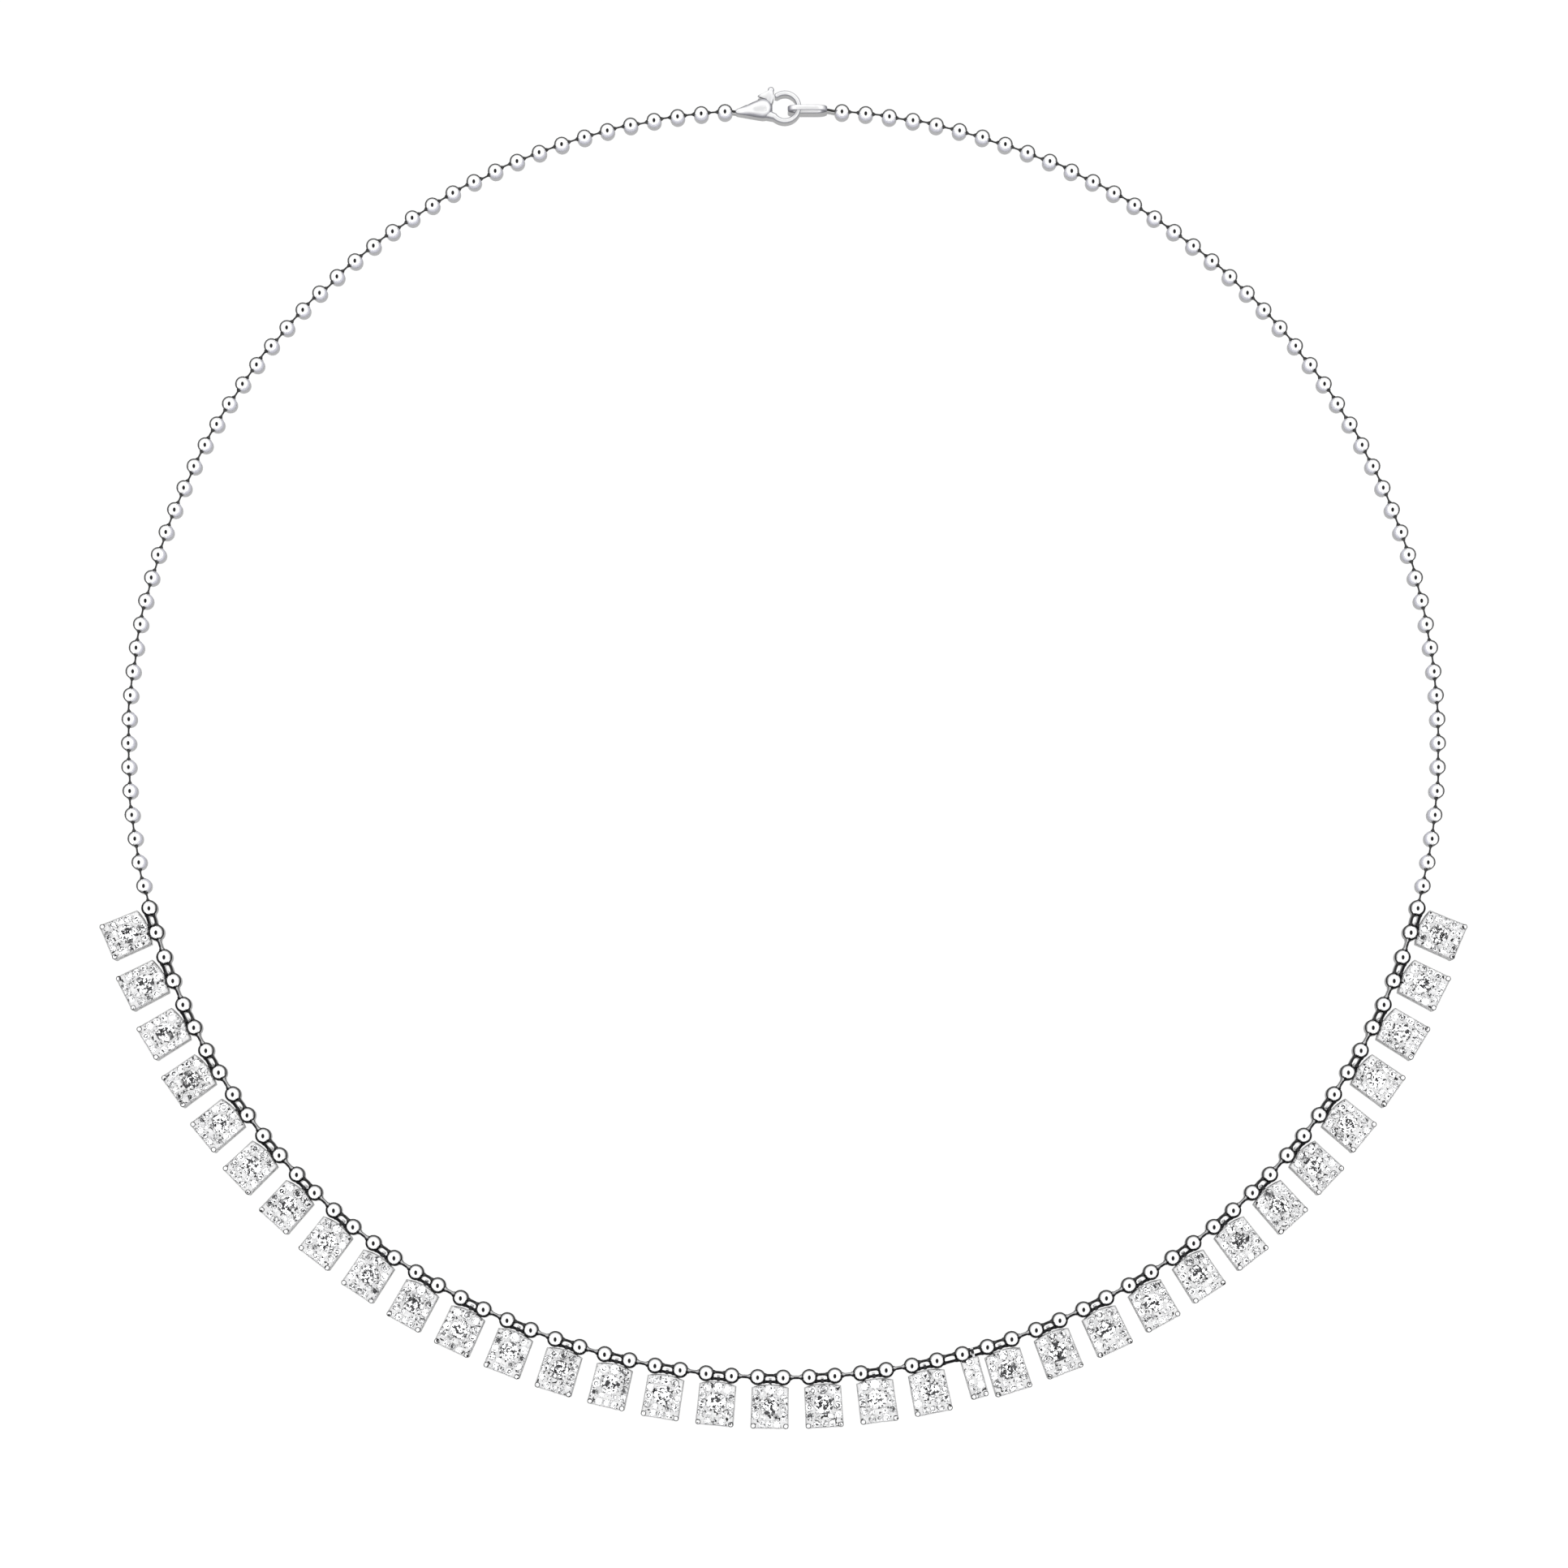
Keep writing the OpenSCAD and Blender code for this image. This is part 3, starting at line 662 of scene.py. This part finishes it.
def grains(spots, origin, heading):
    """Round grains of 0.12 mm that stand on the plate: at the angle t up from the plate a ring has the
    radius 0.12 cos t and the height 0.17 sin t - 0.02."""
    t = np.radians([0, 30, 55, 78])
    one = upright(0.0, 0.0, PLATE_H - GRAIN_SUNK + GRAIN_H * np.sin(t), GRAIN_R * np.cos(t), 8)[0]
    return placed(raised(spots, 0.0)[:, None, None] + one, origin, heading)


polished = white_gold("white_gold_polished", **POLISH)
full_grains = grain_places(np.concatenate([MIDDLE_STONE[None], small_stones]), GRAINS_W, 0)
# The distance from the large stone's axis, the height and the half width of a claw, from foot to tip.
CLAW = np.array([
    [1.13, 0.9, 0.16],
    [1.12, 1.2, 0.16],
    [1.08, 1.36, 0.155],
    [0.99, 1.45, 0.14],
    [0.9, 1.46, 0.11],
    [0.86, 1.45, 0.04],
])
claw_way = raised(diagonal_way, 0.0)
claw_path = CLAW[:, :1] * claw_way[:, None] + CLAW[:, 1:2] * [0, 0, 1] + [*MIDDLE_STONE[:2], 0]
large_claws = np.concatenate([
    drawn(path[None], CLAW[:, 2], 10, over=np.cross([0, 0, 1], way))
    for path, way in zip(claw_path, claw_way)
])
grain_rings = grains(full_grains, plaque_at, plaque_heading)
claw_rings = placed(large_claws, plaque_at, plaque_heading)
wrought("grains_and_claws", [grain_rings, claw_rings], polished, crease=75)

# One narrow plaque hangs right of the lowest point, on the wire beside the single ball that makes the
# row's count odd. It is the right-hand half of a full plaque with two stones of its own, cast, set and
# finished in the same way.
NARROW_W, NARROW_SHIFT, NARROW_GAP, NARROW_BACK = 2.0, -0.55, 0.61, 0.3
OWN_STONES = [[-0.5, -2.35, 0.84], [-0.5, -3.25, 0.7]]
narrow_a, narrow_b = front_balls[NARROW_BALL], front_balls[NARROW_BALL + 1]
narrow_heading = np.arctan2(*(narrow_b - narrow_a)[::-1])[None]
narrow_at = ((narrow_a + narrow_b) / 2 - NARROW_BACK * unit(narrow_b - narrow_a))[None]
narrow_stones = np.concatenate([SMALL_SIDE - [(PLAQUE_W - NARROW_W) / 2, 0, 0], OWN_STONES])
narrow_stones[:, 0] += NARROW_SHIFT
narrow_edge = bright_edge(NARROW_W, NARROW_W, NARROW_SHIFT, NARROW_GAP)
banded("narrow_rim", placed(narrow_edge, narrow_at, narrow_heading), edge_gold)
narrow_collars = placed(claw_collars(NARROW_W, NARROW_SHIFT), narrow_at, narrow_heading)
banded("narrow_collars", narrow_collars, collar_gold)
set_stones("narrow_diamonds", simple_cut(), narrow_stones, narrow_at, narrow_heading)
narrow_grains = grain_places(narrow_stones, NARROW_W - 0.1, NARROW_SHIFT)
wrought("narrow_grains", [grains(narrow_grains, narrow_at, narrow_heading)], polished, crease=75)

# The two back lengths are a finer chain: forty-seven balls of 1.7 mm a side on short pieces of thin hard
# wire. The wire's ends are riveted inside the balls, which leaves a small cone of metal at each hole,
# and the wires aren't quite straight.
BACK_BALL_R, BACK_BORE_R = 0.85, 0.14
BACK_COUNT, BACK_START, BACK_PITCH = 47, 2.604, 2.705
BACK_WIRE_R, BACK_WIRE_Z, BACK_WIRE_BOW = 0.1, 0.86, 0.07
# The height of the painted grey rim on the small balls, as a share of the radius.
GREY_RIM_LINE = 0.76
back_place = front_half + BACK_START + BACK_PITCH * np.arange(BACK_COUNT)
right_balls, right_heading = on_line(back_place)
left_balls, left_heading = on_line(-back_place)
back_centres = np.concatenate([left_balls, right_balls])
back_heading = np.concatenate([left_heading, right_heading])


def painted_grey_rim(bench, place):
    """The mask of a painted grey rim: below a plane 0.76 of the radius up, the side of a small ball that
    faces the neck is painted a soft grey, a painted reflection of the shaded sheet beside it."""
    height = bench.upward(place) * (1 / (BACK_BALL_R * MM)) - 1
    below = (GREY_RIM_LINE - height).between(0.0, 0.12)
    return below * (0 - bench.mark("outwards")).between(0.1, 0.5)


small_balls = white_gold("polished_small_balls", stain_and_shade=painted_grey_rim, dark=0.66, soft=painted_grey_rim, **POLISH)
back_rings = balls(back_centres, back_heading, BACK_BALL_R, BACK_BORE_R)
small_out = facing_out(back_rings, back_centres, back_heading, BACK_BALL_R)
back_balls = wrought("back_balls", [back_rings], small_balls, crease=60, outwards=small_out)
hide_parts("chain_left", "chain_right")

wire_a = np.concatenate([front_balls[:1], left_balls[:-1], front_balls[-1:], right_balls[:-1]])
wire_b = np.concatenate([left_balls, right_balls])
wire_bow = chance.normal(0, BACK_WIRE_BOW, len(wire_a))
back_wires = soldered(
    wire_a, wire_b, np.zeros(len(wire_a)), wire_bow,
    BACK_WIRE_R, BACK_BALL_R, BACK_WIRE_Z, fillet=0.15, reach=0.15,
)
# The wires' near-black tone is painted shade: thin polished wire shows dark, and the tone stands in for
# that.
wire_painted_dark = white_gold(
    "wire_painted_dark", tone=0.02, gloss=0.4, wear=0.12, grain=0.06, lift=0.8, spread=0.02, metal=0.35,
)
wire_lengths = wrought("back_wires", [back_wires], wire_painted_dark)
# The sheet's soft gloss shows no image of so thin a wire, so its sharp mirror leaves the wires out.
wire_lengths.visible_glossy = False

# The lobster clasp ends the left length. Its body is cast: a teardrop with two cheeks and a slot between
# them for the lever, which runs on into a thin round hook. The last wire is soldered to its tail.
CLASP_MID, CLASP_START = 0.95, 1.18
TAIL, TAIL_R = np.array([0.28, 0.0]), 0.28
BELLY, BELLY_R = np.array([3.1, 0.35]), 1.1
PIVOT_X, PIVOT_Y = 3.45, 0.1
line_end = right_balls[-1]
clasp_at = np.array([CLASP_START - line_end[0], line_end[1], CLASP_MID])


def clasp_edges(x):
    """Lower and upper edge of the teardrop: the lowest and highest points at x of all the circles whose
    centre and radius go in even steps from the tail's circle to the belly's."""
    share = np.linspace(0, 1, 200)[:, None]
    cx, cy = TAIL[0] + share * (BELLY - TAIL)[0], TAIL[1] + share * (BELLY - TAIL)[1]
    r = TAIL_R + share * (BELLY_R - TAIL_R)
    reach = np.sqrt(np.clip(r ** 2 - (x - cx) ** 2, 0, None))
    met = np.abs(x - cx) <= r
    return np.where(met, cy - reach, 9).min(0), np.where(met, cy + reach, -9).max(0)


def rounded(gone, least):
    """The share of its full size that a piece still has near an end, where gone rises from 0 to 1: the
    square root of 1 - gone squared, as on an ellipse, and never under the square root of the least."""
    return np.sqrt(np.clip(1 - np.clip(gone, 0, 1) ** 2, least, 1))


def squared(share, power):
    """A sine or cosine to a power with its sign kept, which makes a round section squarer."""
    return np.sign(share) * np.abs(share) ** power


BODY_START, BODY_LENGTH, BODY_SQUARE = 0.01, 4.18, 2.1
TAIL_THICK, BELLY_MORE, RISE_START, RISE_LENGTH = 0.3, 0.65, 0.2, 2.0
TAIL_ROUND, NOSE_ROUND, NOSE_START, END_LEAST = 0.26, 0.72, 3.5, 0.02
SLOT_HALF, SLOT_SHARE = 0.4, 0.6
FLOOR_FALL, FLOOR_STEP, STEP_FALL, FLOOR_LOW = 0.287, 3.0, 0.8, -0.4


def body_rings():
    """Sections across the teardrop from tail to nose. The outside is the rounded square
    |y / half width|^2.1 + |z / half thickness|^2.1 = 1, whose half thickness rises from 0.3 to 0.95 in an
    S and is rounded off at the tail and the nose. The slot cuts into its upper edge between two lips
    0.4 mm either side of the middle, or 0.6 of the half thickness where that is less, down to the slot's
    floor or the outside itself. The floor falls evenly past the rivet's height, and steeply past x = 3."""
    p = BODY_SQUARE
    x = BODY_START + BODY_LENGTH * (0.5 - 0.5 * np.cos(np.linspace(0.04, np.pi - 0.04, 34)))
    low, high = clasp_edges(x)
    middle, half = (low + high) / 2, (high - low) / 2
    rise = np.clip((x - RISE_START) / RISE_LENGTH, 0, 1)
    thick = TAIL_THICK + BELLY_MORE * rise * rise * (3 - 2 * rise)
    thick = thick * rounded((TAIL_ROUND - BODY_START - x) / TAIL_ROUND, END_LEAST)
    thick = thick * rounded((x - NOSE_START) / NOSE_ROUND, END_LEAST)
    lip = np.minimum(SLOT_HALF, SLOT_SHARE * thick)
    start = np.arcsin((lip / thick) ** (p / 2))
    a = start[:, None] + np.linspace(0, 1, 29) * (2 * np.pi - 2 * start)[:, None]
    y, z = half[:, None] * squared(np.cos(a), 2 / p), thick[:, None] * squared(np.sin(a), 2 / p)
    floor = PIVOT_Y + (PIVOT_X - np.minimum(x, FLOOR_STEP)) * FLOOR_FALL
    floor = floor - np.maximum(x - FLOOR_STEP, 0) * STEP_FALL
    floor = np.maximum(floor, FLOOR_LOW) - middle
    inner_z = lip[:, None] * np.linspace(-0.999, 0.999, 7)
    contour = half[:, None] * (1 - np.abs(inner_z / thick[:, None]) ** p) ** (1 / p)
    inner_y = np.minimum(floor[:, None], contour)
    ring_y = np.concatenate([y, inner_y], 1) + middle[:, None]
    ring_z = np.concatenate([z, inner_z], 1)
    return np.stack([np.broadcast_to(x[:, None], ring_y.shape), ring_y, ring_z], -1)[None]


def flowing(points, steps):
    """A smooth path through charted points: between each two a cubic with the Catmull-Rom slopes, half
    the step from the point before to the point after."""
    p = np.concatenate([[2 * points[0] - points[1]], points, [2 * points[-1] - points[-2]]])
    t = np.linspace(0, 1, steps, endpoint=False)[:, None, None]
    a, b, c, d = p[:-3], p[1:-2], p[2:-1], p[3:]
    straight, square, cube = c - a, 2 * a - 5 * b + 4 * c - d, 3 * b - a - 3 * c + d
    curve = 0.5 * (2 * b + straight * t + square * t ** 2 + cube * t ** 3)
    return np.concatenate([curve.transpose(1, 0, 2).reshape(-1, points.shape[1]), points[-1:]])


# The hook's wire runs round from 222 to 136 degrees. It is wider and thicker at its root by shares that
# die away as exp(-(distance / fade) squared), and its tip is round.
HOOK_X, HOOK_Y, HOOK_R, HOOK_WIRE_R = 5.6, 0.53, 1.59, 0.27
HOOK_FROM, HOOK_TO, HOOK_TIP = 222, 360 + 136, 0.26
ROOT_WIDER, WIDER_FADE, ROOT_THICKER, THICKER_FADE = 0.28, 1.3, 0.38, 1.5
HOOK_ROOT = [[3.0, 0.0], [3.55, -0.22], [4.05, -0.42]]
TAIL_WIRE = np.array([[-0.75, 0.0], [-0.4, 0.03], [0.0, -0.02], [0.5, 0.0]])
CLASP_WIRE_R = 0.15
loop_turn = np.radians(np.linspace(HOOK_FROM, HOOK_TO, 40))
loop = np.stack([HOOK_X + HOOK_R * np.cos(loop_turn), HOOK_Y + HOOK_R * np.sin(loop_turn)], -1)
root = flowing(np.array([*HOOK_ROOT, loop[0]]), 5)[:-1]
hook_path = np.concatenate([root, loop])
gone = np.append(0, np.cumsum(np.linalg.norm(np.diff(hook_path, axis=0), axis=1)))
to_tip = gone[-1] - gone
tip_round = rounded(1 - to_tip / HOOK_TIP, 0.01)
hook_wide = (HOOK_WIRE_R + ROOT_WIDER * np.exp(-(gone / WIDER_FADE) ** 2)) * tip_round
hook_thick = (HOOK_WIRE_R + ROOT_THICKER * np.exp(-(gone / THICKER_FADE) ** 2)) * tip_round
hook = drawn(raised(hook_path, 0.0)[None], hook_wide, 18, rise=hook_thick)
tail_wire_path = raised(flowing(TAIL_WIRE, 6), BACK_BALL_R - CLASP_MID)
tail_wire = drawn(tail_wire_path[None], CLASP_WIRE_R, 12)


def painted_edge_shade(bench, place):
    """Painted shade: the steep sides are painted darker than the two broad faces, for the grey outline
    that the clasp's rounded sides show: the square of the normal's rise is 1 on the faces and 0 on the
    sides."""
    rise = bench.upward(bench.node("ShaderNodeTexCoord", {}, {}, "Normal"))
    return 1 - (rise * rise).between(0.3, 0.8)


cast_gold = white_gold(
    "cast_gold", tone=0.88, gloss=0.34, wear=0.14, grain=0.1, lift=0.8,
    stain_and_shade=painted_edge_shade, dark=0.36, metal=0.35,
)
clasp_body = wrought("clasp_body_smooth", [body_rings() + clasp_at, hook + clasp_at], cast_gold, crease=50)
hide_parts("clasp_body")
wrought("tail_wire", [tail_wire + clasp_at], wire_painted_dark)

# The lever is stamped from sheet 0.6 mm thick with broken edges. Its arm closes the hook's mouth, a
# pointed fin and a little ball stand up behind the body for the thumb, and a spring inside the body
# pushes it shut. It turns on a rivet through the cheeks.
LEVER_OUTLINE = np.array([
    [3.45, -0.3], [3.73, -0.18], [3.87, 0.1], [4.06, 0.7], [4.31, 1.45], [4.3, 1.95], [4.22, 2.4],
    [4.0, 2.5], [3.8, 2.42], [3.25, 2.12], [2.66, 1.84], [2.53, 1.74], [2.66, 1.65], [3.15, 1.47],
    [3.56, 1.28], [3.38, 0.8], [3.1, 0.28], [3.06, 0.02], [3.2, -0.22],
])
# The height of each level of the lever, and how far its outline is drawn in there.
LEVER_LEVELS = [(-0.3, 0.07), (-0.28, 0.03), (-0.23, 0.0), (0.23, 0.0), (0.28, 0.03), (0.3, 0.07)]
THUMB_X, THUMB_Y, THUMB_R = 4.03, 2.45, 0.36
closed = np.concatenate([LEVER_OUTLINE[-1:], LEVER_OUTLINE, LEVER_OUTLINE[:1]])
outline = flowing(closed, 4)[4:-5]
chord = np.roll(outline, -1, 0) - np.roll(outline, 1, 0)
outwards = unit(np.stack([chord[:, 1], -chord[:, 0]], -1))
lever_rings = np.stack([raised(outline - inset * outwards, z) for z, inset in LEVER_LEVELS])[None]
t = np.linspace(0.02, np.pi - 0.02, 17)
thumb_ball = upright(THUMB_X, THUMB_Y, -THUMB_R * np.cos(t), THUMB_R * np.sin(t), 24)
lever_shells = [lever_rings + clasp_at, thumb_ball + clasp_at]
lever = wrought("clasp_lever_smooth", lever_shells, cast_gold, body="lever")
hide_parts("clasp_lever")

# The rivet is a cut of hard wire, passed through both cheeks and the lever and hammered over, so each
# end is a low dome in the cheek.
RIVET_Z = np.array([-0.93, -0.915, -0.86, -0.7, 0.7, 0.86, 0.915, 0.93])
RIVET_R = np.array([0.07, 0.15, 0.2, 0.22, 0.22, 0.2, 0.15, 0.07])
rivet = wrought("rivet", [upright(PIVOT_X, PIVOT_Y, RIVET_Z, RIVET_R, 20) + clasp_at], cast_gold)
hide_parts("clasp_pin")

# The ring that the hook holds ends the right length. It is a band of flat wire, 0.6 mm wide, bent into
# an oval 4.5 mm long that stands on its edge, and it is soldered to the last wire.
RING_L, RING_H, BAND_W, BAND_T = 4.5, 2.4, 0.6, 0.45
RING_X, RING_Y, RING_POINTS, BAND_SIDES = 5.92, 0.25, 48, 16
RING_WIRE_SHORT = 0.6
bend_r, straight = (RING_H - BAND_T) / 2, (RING_L - RING_H) / 2
a = np.linspace(0, 2 * np.pi, RING_POINTS, endpoint=False) + np.pi / RING_POINTS
flat = np.zeros(RING_POINTS)
oval = np.stack([bend_r * np.cos(a) + straight * np.sign(np.cos(a)), flat, bend_r * np.sin(a)], -1)
oval_out = np.stack([np.cos(a), flat, np.sin(a)], -1)
b = np.arange(BAND_SIDES) * 2 * np.pi / BAND_SIDES
band_across, band_through = BAND_W / 2 * squared(np.cos(b), 0.45), BAND_T / 2 * squared(np.sin(b), 0.7)
band = oval[:, None] + band_through[:, None] * oval_out[:, None] + band_across[:, None] * [0, 1, 0]
ring_centre = clasp_at + [RING_X + RING_L / 2, RING_Y, RING_H / 2 - CLASP_MID]
clasp_ring = banded("clasp_ring_smooth", band + ring_centre, cast_gold)
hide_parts("clasp_ring")
ring_wire_start = clasp_at + [RING_X + RING_L - BAND_T / 2, RING_Y, BACK_BALL_R - CLASP_MID]
ring_wire_end = np.array([*line_end, BACK_BALL_R]) - [RING_WIRE_SHORT, 0, 0]
ring_wire_path = ring_wire_start + np.linspace(0, 1, 9)[:, None] * (ring_wire_end - ring_wire_start)
wrought("ring_wire", [drawn(ring_wire_path[None], CLASP_WIRE_R, 12)], wire_painted_dark)

# The necklace lies on a sheet of white glossy plastic. It looks plain white from the camera, it mirrors
# what lies on it, and in the polished metal it shows as grey. Through the stones it shines white.
SHEET_HALF, SHEET_Z = 4.0, -0.00002
SHEET_GLOW, SHEET_MIRROR, GLANCE_MIRROR = 0.39, 0.13, 0.28
STONE_GLOW, MATT_SHARE = 2.2, 0.3
WHITE = (1, 1, 1, 1)
corners = SHEET_HALF * np.array([[-1, -1], [1, -1], [1, 1], [-1, 1]])
sheet_mesh = bpy.data.meshes.new("white_sheet")
sheet_mesh.from_pydata(raised(corners, SHEET_Z).tolist(), [], [(0, 1, 2, 3)])
sheet = bpy.data.objects.new("white_sheet", sheet_mesh)
bpy.context.scene.collection.objects.link(sheet)
sheet_finish, bench = new_finish("glossy_white_sheet")
sheet_mesh.materials.append(sheet_finish)


def rays(bench, kind):
    """1 for rays of a kind, such as Is Camera Ray, and 0 for all others."""
    return bench.node("ShaderNodeLightPath", {}, {}, kind)


matt_seen = bench.node("ShaderNodeBsdfDiffuse", {}, {"Color": (0.05, 0.05, 0.05, 1)})
glow_seen = bench.node("ShaderNodeEmission", {}, {"Color": WHITE, "Strength": SHEET_GLOW})
white_seen = bench.node("ShaderNodeAddShader", {}, {0: matt_seen, 1: glow_seen})
mirror = bench.node("ShaderNodeBsdfAnisotropic", {}, {"Color": WHITE, "Roughness": 0.0})
glossy = bench.node("ShaderNodeMixShader", {}, {0: SHEET_MIRROR, 1: white_seen, 2: mirror})
grey = bench.node("ShaderNodeBsdfDiffuse", {}, {"Color": (0.03, 0.03, 0.03, 1)})
glance = GLANCE_MIRROR * bench.node("ShaderNodeFresnel", {}, {"IOR": 1.3})
seen_in_metal = bench.node("ShaderNodeMixShader", {}, {0: glance, 1: grey, 2: mirror})
bright_share = rays(bench, "Is Transmission Ray") + MATT_SHARE * rays(bench, "Is Diffuse Ray")
bright_below = bench.node("ShaderNodeEmission", {}, {"Color": WHITE, "Strength": STONE_GLOW})
not_seen = bench.node("ShaderNodeMixShader", {}, {0: bright_share, 1: seen_in_metal, 2: bright_below})
surface = bench.node("ShaderNodeMixShader", {}, {0: rays(bench, "Is Camera Ray"), 1: not_seen, 2: glossy})
bench.node("ShaderNodeOutputMaterial", {}, {"Surface": surface})

# The light is a white dome with an oval opening for the camera, which shows in every ball as a dark
# dot. To the camera and in the sheet's sharp mirror the dome is much brighter than it is to the metal
# and the stones, and most of all towards the front.
OPENING_X, OPENING_Y, OPENING_BACK, OPENING_DARK = 0.38, 0.56, 0.2, 0.98
LOW_LIGHT, STONE_LOW_LIGHT = 0.1, 0.5
PLAIN_LIGHT, FRONT_LIGHT, DOME_LIGHT, STONE_LIGHT = 4.9, 14, 1.25, 1.5
world = bpy.data.worlds.new("white_dome")
world.use_nodes = True
bpy.context.scene.world = world
bench = Bench(world.node_tree)
way = bench.node("ShaderNodeTexCoord", {}, {}, "Generated")


def towards(direction):
    """How far the way that a ray goes points in a direction: their dot product."""
    return bench.node("ShaderNodeVectorMath", {"operation": "DOT_PRODUCT"}, {0: way, 1: direction}, "Value")


off_x = towards((1 / OPENING_X, 0, 0))
off_y = towards((0, 1 / OPENING_Y, 0)) + OPENING_BACK
outside = (off_x * off_x + off_y * off_y).between(0.85, 1.15)
above = towards((0, 0, 1)).between(-0.02, 0.1)
front = towards((0, -1, 0)).between(0.15, 0.75)
sharp, seen = rays(bench, "Is Singular Ray"), rays(bench, "Is Camera Ray")
through, scattered = rays(bench, "Is Transmission Ray"), rays(bench, "Is Diffuse Ray")
opening = (1 - outside) * (OPENING_DARK - OPENING_DARK * (through + scattered))
dome = (LOW_LIGHT + (1 - LOW_LIGHT) * above + STONE_LOW_LIGHT * through * (1 - above)) * (1 - opening)
plain = sharp + seen - sharp * seen
strength = (PLAIN_LIGHT + FRONT_LIGHT * front) * plain
strength = strength + DOME_LIGHT * (1 - plain) * dome + STONE_LIGHT * through * dome
background = bench.node("ShaderNodeBackground", {}, {"Color": WHITE, "Strength": strength})
bench.node("ShaderNodeOutputWorld", {}, {"Surface": background})

# The camera stands 750 mm above the front of the loop and looks at the loop's middle, five degrees off
# the vertical.
CAMERA_AT, CAMERA_TARGET, LENS = (0.06, -70.53, 750), (0.06, -3.52, 0), 153.7
lens = bpy.data.cameras.new("camera")
lens.sensor_width = 36
lens.lens = LENS
lens.clip_start, lens.clip_end = 0.01, 100
camera = bpy.data.objects.new("camera", lens)
stand, target = Vector(CAMERA_AT) * MM, Vector(CAMERA_TARGET) * MM
camera.location = stand
camera.rotation_euler = (target - stand).to_track_quat("-Z", "Y").to_euler()
bpy.context.scene.collection.objects.link(camera)
bpy.context.scene.camera = camera
bpy.context.scene.view_settings.view_transform = "Standard"
